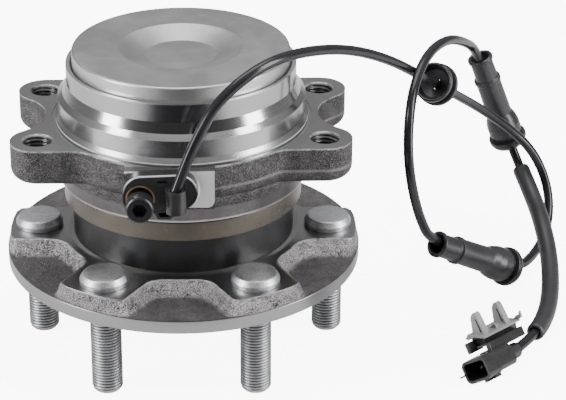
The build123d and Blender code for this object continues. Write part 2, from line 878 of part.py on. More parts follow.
# Half-section of the long grommets, from the narrow end to the wide disc
long_grommet = [
    (4.0, 0.0),
    (5.1, 0.0),
    (5.5, 0.5),
    (5.5, 1.4),
    (4.8, 2.0),
    (4.9, 11.0),
    (5.8, 11.4),
    (5.8, 12.8),
    (5.3, 13.4),
    (5.5, 30.0),
    (6.6, 33.0),
    (7.2, 36.0),
    (7.2, 40.2),
    (6.1, 40.6),
    (6.1, 42.2),
    (8.2, 42.4),
    (8.2, 44.2),
    (7.2, long_grommet_length),
    (long_grommet_mouth, long_grommet_length),
    (grommet_bore, long_grommet_length - grommet_mouth_depth),
    (grommet_bore, grommet_mouth_depth),
]
short_grommet = [
    (7.2, 0.0),
    (7.9, 0.0),
    (8.3, 0.8),
    (8.3, 2.0),
    (6.4, 2.4),
    (6.4, 4.4),
    (8.8, 4.8),
    (8.8, 6.6),
    (8.0, short_grommet_length),
    (grommet_bore, short_grommet_length),
    (grommet_bore, short_grommet_length - short_grommet_dish),
    (6.0, 3.2),
]
for grommet_name, outline, run, start, reverse in (
    ("grommet_short", short_grommet, short_grommet_run, short_grommet_start, False),
    ("grommet_lower", long_grommet, lower_grommet_run, lower_grommet_start, True),
    ("grommet_upper", long_grommet, upper_grommet_run, upper_grommet_start, False),
):
    grommet_plane = run_plane(run, start, reverse)
    with BuildPart() as grommet:
        revolve(
            half_section(outline, grommet_plane),
            axis=Axis(grommet_plane.origin, grommet_plane.y_dir),
        )
    finish_part(grommet, grommet_name)

# Connector frame: x across the mouth, y to its clip side and z out of the mouth
mouth_point = Vector(*mouth_centre)
mouth_out = (mouth_point - Vector(*lead_route[-1])).normalized()
connector_length = (mouth_point - Vector(*lead_route[-1])).length
level_across = Vector(0, 0, 1).cross(mouth_out).normalized()


def rolled_plane(roll):
    """Plane of the mouth, turned about the connector's own axis."""
    across = level_across.rotate(Axis((0, 0, 0), mouth_out), roll)
    return Plane(origin=mouth_point, x_dir=across, z_dir=mouth_out)


def block(plane, limits, mode=Mode.ADD):
    """Box between its limits across, up and back from the mouth."""
    (left, right), (low, high), (near, far) = limits
    with BuildSketch(plane.offset(-near)) as face:
        with Locations(((left + right) / 2, (low + high) / 2)):
            Rectangle(right - left, high - low)
    extrude(face.sketch, amount=near - far, mode=mode)


mouth_plane = rolled_plane(connector_roll)
clip_frame = rolled_plane(clip_roll)

with BuildPart() as connector_shell:
    with BuildSketch(mouth_plane):
        RectangleRounded(mouth_width, mouth_height, mouth_corner)
    extrude(amount=-collar_length)
    with BuildSketch(mouth_plane.offset(-collar_length)):
        RectangleRounded(body_width, body_height, body_corner)
    extrude(amount=collar_length - body_length)
    with BuildSketch(mouth_plane.offset(-body_length)):
        Circle(tail_radius)
    extrude(amount=body_length - connector_length)
    with BuildSketch(mouth_plane):
        RectangleRounded(
            mouth_width - 2 * mouth_wall,
            mouth_height - 2 * mouth_wall,
            mouth_corner - mouth_wall,
        )
    extrude(amount=-socket_depth, mode=Mode.SUBTRACT)
    with BuildSketch(mouth_plane.offset(-connector_length)):
        Circle(tail_seal_radius)
    extrude(amount=tail_seal_length, mode=Mode.SUBTRACT)
    for detail in (guide_ridge, front_nib, key_rib) + lock_tabs:
        block(mouth_plane, detail)
finish_part(connector_shell, "connector_shell")

# Two terminal blades that stand on the floor of the socket
with BuildPart() as connector_terminals:
    with BuildSketch(mouth_plane.offset(-socket_depth)):
        with GridLocations(pin_pitch, 0, 2, 1):
            Rectangle(pin_width, pin_thickness)
    extrude(amount=pin_length)
finish_part(connector_terminals, "connector_terminals")

# Rubber plug that seals the lead in the tail
with BuildPart() as connector_seal:
    with BuildSketch(mouth_plane.offset(-connector_length)):
        Circle(tail_seal_radius)
    extrude(amount=tail_seal_length)
finish_part(connector_seal, "connector_seal")

# Holder moulded beside the connector
with BuildPart() as clip_holder:
    block(mouth_plane, holder_rail)
    block(mouth_plane, holder_window, mode=Mode.SUBTRACT)
    block(clip_frame, holder_bar)
    block(mouth_plane, holder_hook)
finish_part(clip_holder, "clip_holder")

# Light clip with two split prongs
with BuildPart() as mounting_clip:
    block(clip_frame, clip_plate)
    for back in prong_backs:
        with BuildSketch(clip_frame.offset(-back + prong_depth / 2)) as prong:
            with BuildLine():
                Polyline(*prong_outline, close=True)
            make_face()
            with BuildLine():
                Polyline(*prong_slit, close=True)
            make_face(mode=Mode.SUBTRACT)
        extrude(amount=-prong_depth)
    for tab_outline, back in (
        (front_wing, front_wing_back),
        (middle_tab, middle_tab_back),
        (rear_tab, rear_tab_back),
    ):
        with BuildSketch(clip_frame.offset(-back)):
            with BuildLine():
                Polyline(*tab_outline, close=True)
            make_face()
        extrude(amount=-clip_tab_thickness)
finish_part(mounting_clip, "mounting_clip")
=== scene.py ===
"""Looks of the wheel hub bearing, laid out as an add-on with one operator for each group of pieces.

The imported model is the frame. Every piece is made in place, in metres, and rides on a body of that model.
Shapes are worked out with numpy: a profile turned about an axis or carried along a line, or a height over
a grid. Sizes are millimetres, as in the part's own source, apart from the lead's, which are metres.
"""

import math

import bpy
import numpy as np
from bpy.props import FloatProperty, FloatVectorProperty, IntProperty, PointerProperty
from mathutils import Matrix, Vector


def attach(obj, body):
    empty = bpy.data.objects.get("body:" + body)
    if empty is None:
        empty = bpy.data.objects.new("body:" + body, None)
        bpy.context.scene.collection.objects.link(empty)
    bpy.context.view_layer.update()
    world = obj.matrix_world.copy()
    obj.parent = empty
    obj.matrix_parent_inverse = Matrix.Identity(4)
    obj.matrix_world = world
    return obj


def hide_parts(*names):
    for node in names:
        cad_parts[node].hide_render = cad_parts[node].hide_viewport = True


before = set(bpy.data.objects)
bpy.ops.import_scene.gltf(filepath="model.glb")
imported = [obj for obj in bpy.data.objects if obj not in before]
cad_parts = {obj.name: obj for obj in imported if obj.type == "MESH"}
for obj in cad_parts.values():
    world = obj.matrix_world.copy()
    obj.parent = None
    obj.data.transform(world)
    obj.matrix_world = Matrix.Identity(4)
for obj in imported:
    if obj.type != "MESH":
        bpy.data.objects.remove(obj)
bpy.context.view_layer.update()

bl_info = {
    "name": "Wheel hub bearing looks",
    "version": (1, 0, 0),
    "blender": (4, 5, 0),
    "location": "View3D > Sidebar > Hub bearing",
    "description": "Dresses the packed wheel hub bearing with its forged, turned, rubber and plastic surfaces",
    "category": "Object",
}

MM = 0.001

# Levels along the wheel axis, radii about it and places across it, from the source of the part, in mm.
# HUB_TURN is in degrees.
STUD_CIRCLE = 57.15
HUB_TURN = -1.3
WHEEL_FACE = 34.92
RIM_TOP = 40.28
FLANGE_BACK = 46.4
NECK_TOP = 60.2
NECK_RADIUS = 42.2
SEAT_HEIGHT = 0.6
RIM_RADIUS = 69.67
STUD_RADIUS = 6.0
OUTBOARD_ROW = 75.0
HOUSING_BASE = 61.84
KNUCKLE_FACE = 94.16
CAP_SEAT = 108.0
CAP_TOP = 122.25
CAP_WALL = 1.4
CAP_DISH = 3.3
BUSH_PLACE = (-15.0, 85.5)
EAR_PLACES = ((-54.41, -24.31), (54.41, -24.31), (-54.41, 24.31), (54.41, 24.31))
EAR_HOLE_RADIUS = 5.2

# Stud pads on the flange: plateau, half width, reach, how much steeper their outer end falls, roundings
PLATEAU_RADIUS = 48.0
PAD_HALF_WIDTH = 14.5
PAD_REACH = 68.4
PAD_END_STEEPNESS = 2.6
PAD_ROUNDING = 5.0
PAD_BLEND = 6.0

# Where the housing's finish and its painted light change, in mm: a pair is the start and end of a soft change,
# but PROBE_PLACE is across and up
GROOVE_OUTER, GROOVE_DEPTH = 50.4, 1.6
SKIN_FOOT, SKIN_INNER = (72.0, 78.0), 49.0
NECK_FOOT = (70.7, 71.6)
# The next levels bound a bright line along the ear plate's upper edge, partly burr and partly painted highlight
BURR_HIGHLIGHT = (93.2, 93.9)
FLASH_HEIGHT, FLASH_FADE, FLASH_SIDE = 85.0, (0.25, 0.9), (-10.0, 30.0)
PAD_FACE = -54.05
SPOT_LEFT, SPOT_RIGHT, SPOT_FOOT, SPOT_ROUNDING = 2.6, 9.4, 82.5, 2.9
# The second number is the radius of the crescent of painted highlight round the probe
PROBE_PLACE, PROBE_HIGHLIGHT_RADIUS = (-1.0, 87.0), 8.0
# The front strip and side bound painted shade on the front of the knuckle face, with the lip inside it
FRONT_STRIP, FRONT_SIDE, FRONT_LIP = (-49.5, -48.5), (14.0, 24.0), (-53.6, -52.9)
# The foot bounds here and the spigot rim two lines down place painted highlights on thin rings
FOOT_START, FOOT_END, FOOT_RADIUS = (94.25, 94.6), (94.8, 95.2), 50.0
LAND_TOP = (103.4, 103.9)
SPIGOT_RIM = (116.35, 116.6)

# Sensor plate: three discs across, up and radius whose hull is its outline, and the bead along its front edge
PLATE_DISCS = ((-14.2, 87.6, 7.3), (-15.0, 85.5, 6.6), (-1.0, 88.0, 7.3))
PLATE_FRONT = -58.4
BEAD_INSET = 0.45
BEAD_RADIUS = 0.4

# Colours and shares of the finishes that no user changes, and the bush's bright ring in mm and its knurls
# The next two colours are painted glints, the bright grains of sparkle on the forged skin
BRIGHT_GLINT = (0.80, 0.78, 0.78, 1.0)
DULL_GLINT = (0.52, 0.51, 0.515, 1.0)
# The next colour is painted shade, near black inside the bush's bright ring
BUSH_BORE_SHADE = (0.012, 0.010, 0.009, 1.0)
BUSH_RING = (4.65, 4.85)
BUSH_KNURLS = 44.0
TOOL_MARK_SHARE = 0.03

# Lead route, point for point as in the source of the part, in metres
FIRST_ARCH = [
    (-0.0021, -0.0624, 0.0898),
    (0.0015, -0.0615, 0.0997),
    (0.0061, -0.0585, 0.1098),
    (0.0124, -0.0530, 0.1196),
    (0.0215, -0.0476, 0.1270),
    (0.0337, -0.0384, 0.1315),
    (0.0483, -0.0240, 0.1296),
    (0.0645, -0.0055, 0.1225),
    (0.0808, 0.0132, 0.1107),
]
SHORT_GROMMET_RUN = [(0.0953, 0.0303, 0.0966), (0.1110, 0.0540, 0.0790)]
FIRST_DROP = [
    (0.1265, 0.0730, 0.0630),
    (0.1405, 0.0810, 0.0500),
    (0.1508, 0.0830, 0.0390),
    (0.1570, 0.0810, 0.0270),
    (0.1588, 0.0745, 0.0160),
    (0.1562, 0.0650, 0.0081),
    (0.1503, 0.0527, 0.0042),
]
LOWER_GROMMET_RUN = [(0.1391, 0.0305, 0.0076), (0.0999, 0.0056, 0.0337)]
SECOND_ARCH = [
    (0.0942, 0.0005, 0.0468),
    (0.0903, -0.0005, 0.0620),
    (0.0886, 0.0010, 0.0757),
    (0.0891, 0.0063, 0.0884),
    (0.0917, 0.0165, 0.0982),
    (0.0981, 0.0322, 0.1050),
    (0.1079, 0.0500, 0.1044),
    (0.1174, 0.0680, 0.0959),
]
UPPER_GROMMET_RUN = [(0.1255, 0.0880, 0.0840), (0.1435, 0.0955, 0.0350)]
LAST_DROP = [
    (0.1509, 0.0730, 0.0210),
    (0.1525, 0.0555, 0.0175),
    (0.1534, 0.0381, 0.0115),
    (0.1518, 0.0188, 0.0069),
    (0.1476, -0.0015, 0.0051),
    (0.1400, -0.0200, 0.0048),
    (0.1304, -0.0327, 0.0052),
]
LEAD_ROUTE = (
    FIRST_ARCH + SHORT_GROMMET_RUN + FIRST_DROP + LOWER_GROMMET_RUN
    + SECOND_ARCH + UPPER_GROMMET_RUN + LAST_DROP
)
LEAD_RADIUS = 0.002
SLEEVE_START, SLEEVE_END = 0.128, 0.017  # distances from the far end of the lead


def length_value(name, description, default, least):
    """Length that a user may change, in metres."""
    return FloatProperty(name=name, description=description, default=default, min=least, unit="LENGTH")


def colour_value(name, description, default):
    """Colour that a user may change."""
    return FloatVectorProperty(
        name=name, description=description, default=default, min=0, max=1, size=3, subtype="COLOR")


class HubBearingSizes(bpy.types.PropertyGroup):
    """Sizes of the fine shapes that the looks add to the part."""

    stud_pitch: length_value("Stud pitch", "Distance between two turns of a stud thread", 0.00125, 0.0005)
    thread_depth: length_value("Thread depth", "Depth of a stud thread below its crests", 0.00072, 0.0001)
    forging_relief: length_value(
        "Forging relief", "Height of the unevenness left by the forging die", 0.00022, 0.0)
    edge_softness: length_value(
        "Edge softness", "Width of the worn edge on moulded and pressed pieces", 0.0003, 0.00005)
    round_steps: IntProperty(
        name="Steps round", description="Faces round a full turn of a large turned piece", default=240, min=48)


class HubBearingColours(bpy.types.PropertyGroup):
    """Colours of the finishes."""

    turned_steel: colour_value("Turned steel", "Colour of the machined faces", (0.34, 0.335, 0.34))
    forged_steel: colour_value("Forged steel", "Colour of the rough forged skin", (0.125, 0.119, 0.122))
    cap_steel: colour_value("Cap steel", "Colour of the pressed end cap", (0.47, 0.465, 0.47))
    zinc: colour_value("Zinc plate", "Colour of the plated studs", (0.58, 0.585, 0.60))
    tan_coat: colour_value("Tan coat", "Colour of the coated dust ring", (0.088, 0.076, 0.062))
    black_coat: colour_value("Black coat", "Colour of the coated dust sleeve", (0.005, 0.005, 0.006))
    lead_black: colour_value("Lead black", "Colour of the lead's jacket", (0.012, 0.012, 0.014))
    rubber: colour_value("Rubber", "Colour of grommets and sleeve", (0.017, 0.017, 0.019))
    plastic: colour_value("Moulded plastic", "Colour of sensor and connector", (0.02, 0.02, 0.021))
    clip_grey: colour_value("Clip grey", "Colour of the mounting clip", (0.255, 0.248, 0.252))
    brass: colour_value("Brass", "Colour of the bush", (0.36, 0.245, 0.14))


def node(tree, kind, **settings):
    """New node in a tree, with its settings and the values of its named or numbered inputs."""
    made = tree.nodes.new(kind)
    for key, value in settings.pop("inputs", {}).items():
        made.inputs[key].default_value = value
    for key, value in settings.items():
        setattr(made, key, value)
    return made


def wire(tree, source, target):
    """Link an output to an input."""
    tree.links.new(source, target)


def feed(tree, value, target):
    """Give an input a plain number or colour, or link an output to it."""
    if isinstance(value, (int, float, tuple)):
        target.default_value = value
    else:
        wire(tree, value, target)


def maths(tree, operation, first, second=0.0, clamp=False):
    """Maths on two values, each a plain number or an output."""
    made = node(tree, "ShaderNodeMath", operation=operation, use_clamp=clamp)
    feed(tree, first, made.inputs[0])
    feed(tree, second, made.inputs[1])
    return made.outputs[0]


def product(tree, first, *others):
    """Product of two or more values."""
    for other in others:
        first = maths(tree, "MULTIPLY", first, other)
    return first


def mixture(tree, first, share, second):
    """First value by its share plus the second by the rest."""
    return maths(tree, "ADD", product(tree, first, share), product(tree, second, 1.0 - share))


def distance(tree, across, up):
    """Distance from an axis: root of the sum of both squares."""
    return maths(tree, "SQRT", maths(tree, "ADD", product(tree, across, across), product(tree, up, up)))


def spread(tree, value, low, high, to_low=0.0, to_high=1.0):
    """Value stretched from one range to another with soft ends."""
    made = node(tree, "ShaderNodeMapRange", interpolation_type="SMOOTHSTEP")
    wire(tree, value, made.inputs["Value"])
    for key, number in (("From Min", low), ("From Max", high), ("To Min", to_low), ("To Max", to_high)):
        made.inputs[key].default_value = number
    return made.outputs["Result"]


def above(tree, value, level):
    """One where a coordinate is more than a level in mm, zero elsewhere."""
    return maths(tree, "GREATER_THAN", value, level * MM)


def below(tree, value, level):
    """One where a coordinate is less than a level in mm, zero elsewhere."""
    return maths(tree, "LESS_THAN", value, level * MM)


def rising(tree, value, low, high):
    """Share that rises softly from 0 to 1 between two levels in mm."""
    return spread(tree, value, low * MM, high * MM)


def falling(tree, value, low, high):
    """Share that falls softly from 1 to 0 between two levels in mm."""
    return spread(tree, value, low * MM, high * MM, 1.0, 0.0)


def blend_colour(tree, share, first, second):
    """Colour mixed from two, each a plain colour or an output."""
    made = node(tree, "ShaderNodeMix", data_type="RGBA")
    feed(tree, share, made.inputs["Factor"])
    feed(tree, first, made.inputs[6])
    feed(tree, second, made.inputs[7])
    return made.outputs[2]


def blend_value(tree, share, first, second):
    """Number mixed from two, each a plain number or an output."""
    made = node(tree, "ShaderNodeMix", data_type="FLOAT")
    feed(tree, share, made.inputs["Factor"])
    feed(tree, first, made.inputs[2])
    feed(tree, second, made.inputs[3])
    return made.outputs[0]


def rgba(colour, factor=1.0):
    """Colour with full cover, made lighter or darker by a factor."""
    return tuple(min(1.0, c * factor) for c in colour) + (1.0,)


def shades(tree, share, colour, dark, light):
    """Colour between a darker and a lighter shade of itself."""
    return blend_colour(tree, share, rgba(colour, dark), rgba(colour, light))


def object_place(tree):
    """Outputs for x, y and z of the place on the object."""
    place = node(tree, "ShaderNodeSeparateXYZ")
    wire(tree, node(tree, "ShaderNodeTexCoord").outputs["Object"], place.inputs[0])
    return place.outputs


def new_group(name, inputs, outputs):
    """Empty node group with named inputs and their values, and named outputs; returns tree and end nodes."""
    tree = bpy.data.node_groups.new(name, "ShaderNodeTree")
    for label, value in inputs.items():
        socket = tree.interface.new_socket(name=label, in_out="INPUT", socket_type="NodeSocketFloat")
        socket.default_value = value
    for label in outputs:
        tree.interface.new_socket(name=label, in_out="OUTPUT", socket_type="NodeSocketFloat")
    return tree, node(tree, "NodeGroupInput"), node(tree, "NodeGroupOutput")


def place_group(tree, name, **values):
    """Outputs of one use of a shared effect, with its own values; underscores in names stand for spaces."""
    made = node(tree, "ShaderNodeGroup", node_tree=group(name))
    for key, value in values.items():
        made.inputs[key.replace("_", " ")].default_value = value
    return made.outputs


def noise_at(tree, vector, scale, detail, roughness):
    """Noise read at a vector."""
    made = node(tree, "ShaderNodeTexNoise", inputs={"Detail": detail, "Roughness": roughness})
    wire(tree, vector, made.inputs["Vector"])
    wire(tree, scale, made.inputs["Scale"])
    return made.outputs["Fac"]


def forging_grain_group():
    """Shot-blasted forging skin: pits and grains of one size, broad patches, and painted glints that light a
    few grains bright.
    """
    tree, given, result = new_group(
        "Forging grain",
        {"Grains per metre": 1900.0, "Patches per metre": 240.0, "Sparkle": 0.5},
        ("Shade", "Glint", "Height"),
    )
    place = node(tree, "ShaderNodeTexCoord").outputs["Object"]
    fine = noise_at(tree, place, given.outputs["Grains per metre"], 4.0, 0.7)
    patch = noise_at(tree, place, given.outputs["Patches per metre"], 3.0, 0.6)
    cells = node(tree, "ShaderNodeTexVoronoi", feature="F1")
    wire(tree, place, cells.inputs["Vector"])
    wire(tree, given.outputs["Grains per metre"], cells.inputs["Scale"])
    lot = node(tree, "ShaderNodeSeparateColor")
    wire(tree, cells.outputs["Color"], lot.inputs["Color"])
    # Painted glints: a share of the grains chosen to be lit bright
    chosen = spread(tree, lot.outputs[0], 0.55, 1.0)
    wire(tree, maths(tree, "MULTIPLY", chosen, given.outputs["Sparkle"], clamp=True), result.inputs["Glint"])
    wire(tree, spread(tree, mixture(tree, fine, 0.76, patch), 0.42, 0.58), result.inputs["Shade"])
    pits = maths(tree, "SUBTRACT", 1.0, cells.outputs["Distance"])
    wire(tree, mixture(tree, fine, 0.7, pits), result.inputs["Height"])
    return tree


def turned_marks_group():
    """Marks of the turning tool: noise over distance from the wheel axis and height, so they are rings."""
    tree, given, result = new_group(
        "Turned marks", {"Rings per metre": 2400.0, "Waves per metre": 160.0}, ("Shade", "Height"))
    x, y, z = object_place(tree)
    flat = node(tree, "ShaderNodeCombineXYZ")
    wire(tree, distance(tree, x, y), flat.inputs[0])
    wire(tree, z, flat.inputs[1])
    fine = noise_at(tree, flat.outputs[0], given.outputs["Rings per metre"], 2.0, 0.6)
    broad = noise_at(tree, flat.outputs[0], given.outputs["Waves per metre"], 2.0, 0.6)
    wire(tree, mixture(tree, fine, 0.5, broad), result.inputs["Shade"])
    wire(tree, fine, result.inputs["Height"])
    return tree


def handling_group():
    """Smudges and light scuffs of handling: broad cloudy patches and short thin streaks."""
    tree, given, result = new_group(
        "Handling marks",
        {"Smudges per metre": 60.0, "Scuffs per metre": 420.0},
        ("Smudge", "Scuff", "Height"),
    )
    place = node(tree, "ShaderNodeTexCoord").outputs["Object"]
    smudge = noise_at(tree, place, given.outputs["Smudges per metre"], 4.0, 0.6)
    wire(tree, spread(tree, smudge, 0.35, 0.7), result.inputs["Smudge"])
    turned = node(tree, "ShaderNodeMapping", inputs={"Rotation": (0.5, 0.3, 0.8), "Scale": (1.0, 0.12, 0.5)})
    wire(tree, place, turned.inputs["Vector"])
    streak = noise_at(tree, turned.outputs[0], given.outputs["Scuffs per metre"], 5.0, 0.7)
    wire(tree, spread(tree, streak, 0.6, 0.78), result.inputs["Scuff"])
    wire(tree, noise_at(tree, place, given.outputs["Scuffs per metre"], 4.0, 0.65), result.inputs["Height"])
    return tree


GROUPS = {}


def group(name):
    """The shared effect of that name, made on its first use."""
    makers = {"forging": forging_grain_group, "turned": turned_marks_group, "handling": handling_group}
    if name not in GROUPS:
        GROUPS[name] = makers[name]()
    return GROUPS[name]


def bare_material(name, **values):
    """Material with one Principled shader; returns material, tree and shader."""
    made = bpy.data.materials.new(name)
    made.use_nodes = True
    tree = made.node_tree
    tree.nodes.clear()
    shader = node(tree, "ShaderNodeBsdfPrincipled")
    for key, value in values.items():
        shader.inputs[key.replace("_", " ")].default_value = value
    wire(tree, shader.outputs[0], node(tree, "ShaderNodeOutputMaterial").inputs["Surface"])
    return made, tree, shader


def surfaced(tree, shader, colour, roughness, height=None, depth=0.0):
    """Feeds the shader colour and roughness and, where a height is given, a bump of a real depth in metres."""
    wire(tree, colour, shader.inputs["Base Color"])
    wire(tree, roughness, shader.inputs["Roughness"])
    if height:
        bump = node(tree, "ShaderNodeBump", inputs={"Strength": 1.0, "Distance": depth})
        wire(tree, height, bump.inputs["Height"])
        wire(tree, bump.outputs[0], shader.inputs["Normal"])


def stretched_by_rings(tree, shader):
    """Tangent round the wheel axis, so that the turning rings stretch highlights across themselves."""
    tangent = node(tree, "ShaderNodeTangent", direction_type="RADIAL", axis="Z")
    wire(tree, tangent.outputs[0], shader.inputs["Tangent"])


def turned_steel_material(colour, name, low=0.24, high=0.38, depth=0.000012, across=0.6):
    """Turned steel whose rings stretch its highlights along the axis."""
    made, tree, shader = bare_material(name, Metallic=1.0, Anisotropic=across, Anisotropic_Rotation=0.25)
    stretched_by_rings(tree, shader)
    marks = place_group(tree, "turned")
    smudge = place_group(tree, "handling")["Smudge"]
    tone = shades(tree, mixture(tree, marks["Shade"], 0.7, smudge), colour, 0.82, 1.15)
    surfaced(tree, shader, tone, blend_value(tree, smudge, low, high), marks["Height"], depth)
    return made


def forged_hub_material(colours):
    """Hub steel: its forged attribute says where the skin is rough, the other where painted sheen and glints
    brighten the pocket walls next to the pads.
    """
    made, tree, shader = bare_material("hub_steel", Metallic=1.0)
    rough = node(tree, "ShaderNodeAttribute", attribute_name="forged").outputs["Fac"]
    glinting = node(tree, "ShaderNodeAttribute", attribute_name="glinting").outputs["Fac"]
    grain = place_group(tree, "forging", Grains_per_metre=2800.0)
    marks = place_group(tree, "turned", Rings_per_metre=1500.0)
    turned = shades(tree, marks["Shade"], colours.turned_steel, 0.76, 1.05)
    forged = shades(tree, grain["Shade"], colours.forged_steel, 0.8, 2.0)
    # Painted sheen and glints on the pocket walls: a stronger mottle and bright grains
    shining = shades(tree, grain["Shade"], colours.forged_steel, 0.05, 3.6)
    bright = maths(tree, "MULTIPLY", glinting, grain["Glint"], clamp=True)
    skin = blend_colour(tree, bright, blend_colour(tree, glinting, forged, shining), BRIGHT_GLINT)
    height = blend_value(tree, rough, product(tree, marks["Height"], TOOL_MARK_SHARE), grain["Height"])
    surfaced(tree, shader, blend_colour(tree, rough, turned, skin), blend_value(tree, rough, 0.28, 0.42),
             height, 0.0006)
    return made


def housing_masks(tree):
    """Shares from 0 to 1 that say where each finish of the housing lies, from the place on it.

    The forged skin ends below the knuckle face, outside the relief groove; flash and a bright line along its
    upper edge, partly burr and partly painted highlight, lie on it, and the neck starts below it. The bright
    spot face is a rectangle with a rounded corner, with a crescent of painted highlight round the probe. Other
    shares place painted light only: painted shade on the front strip of the knuckle face, and painted
    highlights on a ring at the land's foot and on the spigot's top rim.
    """
    x, y, z = object_place(tree)
    radius = distance(tree, x, y)
    groove = product(tree, below(tree, radius, GROOVE_OUTER), above(tree, z, KNUCKLE_FACE - GROOVE_DEPTH))
    below_face = maths(tree, "SUBTRACT", below(tree, z, KNUCKLE_FACE - 0.05), groove, clamp=True)
    skin = product(tree, below_face, rising(tree, z, *SKIN_FOOT), above(tree, radius, SKIN_INNER))
    from_flash = maths(tree, "ABSOLUTE", maths(tree, "SUBTRACT", z, FLASH_HEIGHT * MM))
    past_side = maths(tree, "MAXIMUM", maths(tree, "SUBTRACT", x, SPOT_RIGHT * MM))
    past_foot = maths(tree, "MAXIMUM", maths(tree, "SUBTRACT", SPOT_FOOT * MM, z))
    corner = distance(tree, past_side, past_foot)
    beside_probe = maths(tree, "SUBTRACT", x, PROBE_PLACE[0] * MM)
    over_probe = maths(tree, "SUBTRACT", z, PROBE_PLACE[1] * MM)
    face = product(tree, above(tree, z, KNUCKLE_FACE - 0.06), below(tree, z, KNUCKLE_FACE + 0.06))
    front = product(tree, face, falling(tree, y, *FRONT_STRIP), falling(tree, x, *FRONT_SIDE))
    return {
        "skin": skin,
        "neck": product(tree, below_face, rising(tree, z, *NECK_FOOT)),
        "burr_highlight": product(tree, skin, rising(tree, z, *BURR_HIGHLIGHT)),
        "flash": product(tree, skin, falling(tree, from_flash, *FLASH_FADE), rising(tree, x, *FLASH_SIDE)),
        "spot": product(tree, below(tree, y, PAD_FACE), above(tree, x, SPOT_LEFT),
                        below(tree, corner, SPOT_ROUNDING)),
        "crescent_highlight": below(tree, distance(tree, beside_probe, over_probe), PROBE_HIGHLIGHT_RADIUS),
        "face": face,
        "front": front,
        "lip": product(tree, front, falling(tree, y, *FRONT_LIP)),
        "foot": product(tree, rising(tree, z, *FOOT_START), falling(tree, z, *FOOT_END),
                        below(tree, radius, FOOT_RADIUS)),
        "rim": rising(tree, z, *SPIGOT_RIM),
        "above_land": rising(tree, z, *LAND_TOP),
    }


def housing_material(colours):
    """Housing steel: rough skin on the sides of the ear plate, turned steel elsewhere, a bright spot face.

    The forged neck under the ear plate is smoother and dark, the ear plate's upper edge has a bright line that
    is partly burr left by the cut and partly painted highlight, and a faint flash line runs round the ears.
    Painted shade darkens the front strip of the knuckle face, and painted highlights lighten the crescent round
    the probe, a ring at the land's foot and the spigot's top rim. Each layer covers those before it.
    """
    made, tree, shader = bare_material(
        "housing_steel", Metallic=1.0, Anisotropic=0.45, Anisotropic_Rotation=0.25)
    stretched_by_rings(tree, shader)
    where = housing_masks(tree)
    grain = place_group(tree, "forging", Grains_per_metre=4000.0, Sparkle=0.5)
    marks = place_group(tree, "turned")
    steel, skin = colours.turned_steel, colours.forged_steel
    flat = shades(tree, marks["Shade"], steel, 0.75, 1.0)
    # Painted shade: the front strip of the knuckle face is darkened
    flat = blend_colour(tree, where["front"], flat, rgba(steel, 0.36))
    colour = blend_colour(tree, where["face"], shades(tree, marks["Shade"], steel, 0.9, 1.5), flat)
    forged = shades(tree, grain["Shade"], skin, 0.14, 0.76)
    # Painted glints on the housing's forged skin
    forged = blend_colour(tree, product(tree, grain["Glint"], 0.6), forged, DULL_GLINT)
    smudge = place_group(tree, "handling")["Smudge"]
    # Painted highlight: the crescent round the probe is lightened to bright steel
    milled = blend_colour(tree, where["crescent_highlight"], shades(tree, smudge, steel, 1.35, 1.7), rgba(steel, 2.9))
    layers = (
        (where["lip"], shades(tree, grain["Shade"], steel, 0.8, 2.4)),
        # Painted highlights: a ring at the land's foot and the spigot's top rim
        (maths(tree, "MAXIMUM", where["foot"], where["rim"]), rgba(steel, 2.3)),
        (where["neck"], shades(tree, grain["Shade"], skin, 0.75, 1.1)),
        (where["skin"], forged),
        (product(tree, where["flash"], 0.35), rgba(skin, 3.0)),
        (where["spot"], milled),
        # Partly burr and partly painted highlight along the ear plate's upper edge
        (product(tree, where["burr_highlight"], spread(tree, grain["Shade"], 0.1, 0.8)), rgba(steel, 1.7)),
    )
    for share, layer in layers:
        colour = blend_colour(tree, share, colour, layer)
    # The spot face and the painted highlight at the foot are less metallic
    pale = maths(tree, "MAXIMUM", where["spot"], where["foot"])
    wire(tree, blend_value(tree, pale, 1.0, 0.25), shader.inputs["Metallic"])
    dull = blend_value(tree, where["above_land"], 0.26, 0.17)
    for name, roughness in (("face", 0.4), ("neck", 0.3), ("skin", 0.45), ("spot", 0.5)):
        dull = blend_value(tree, where[name], dull, roughness)
    rough = maths(tree, "SUBTRACT", where["skin"], where["spot"], clamp=True)
    height = blend_value(tree, rough, product(tree, marks["Height"], TOOL_MARK_SHARE), grain["Height"])
    surfaced(tree, shader, colour, dull, height, 0.0003)
    return made


def coat_material(name, colour, low, high, metallic=0.0, lighter=1.3, depth=0.00003, smudges=60.0,
                  scuffs=420.0, shine=0.5):
    """Even coat, rubber or moulded plastic with smudges, light scuffs and a fine grain."""
    made, tree, shader = bare_material(name, Metallic=metallic, Specular_IOR_Level=shine)
    hand = place_group(tree, "handling", Smudges_per_metre=smudges, Scuffs_per_metre=scuffs)
    tone = shades(tree, hand["Smudge"], colour, 0.85, lighter)
    tone = blend_colour(tree, product(tree, hand["Scuff"], 0.3), tone, rgba(colour, 3.0))
    surfaced(tree, shader, tone, blend_value(tree, hand["Smudge"], low, high), hand["Height"], depth)
    return made


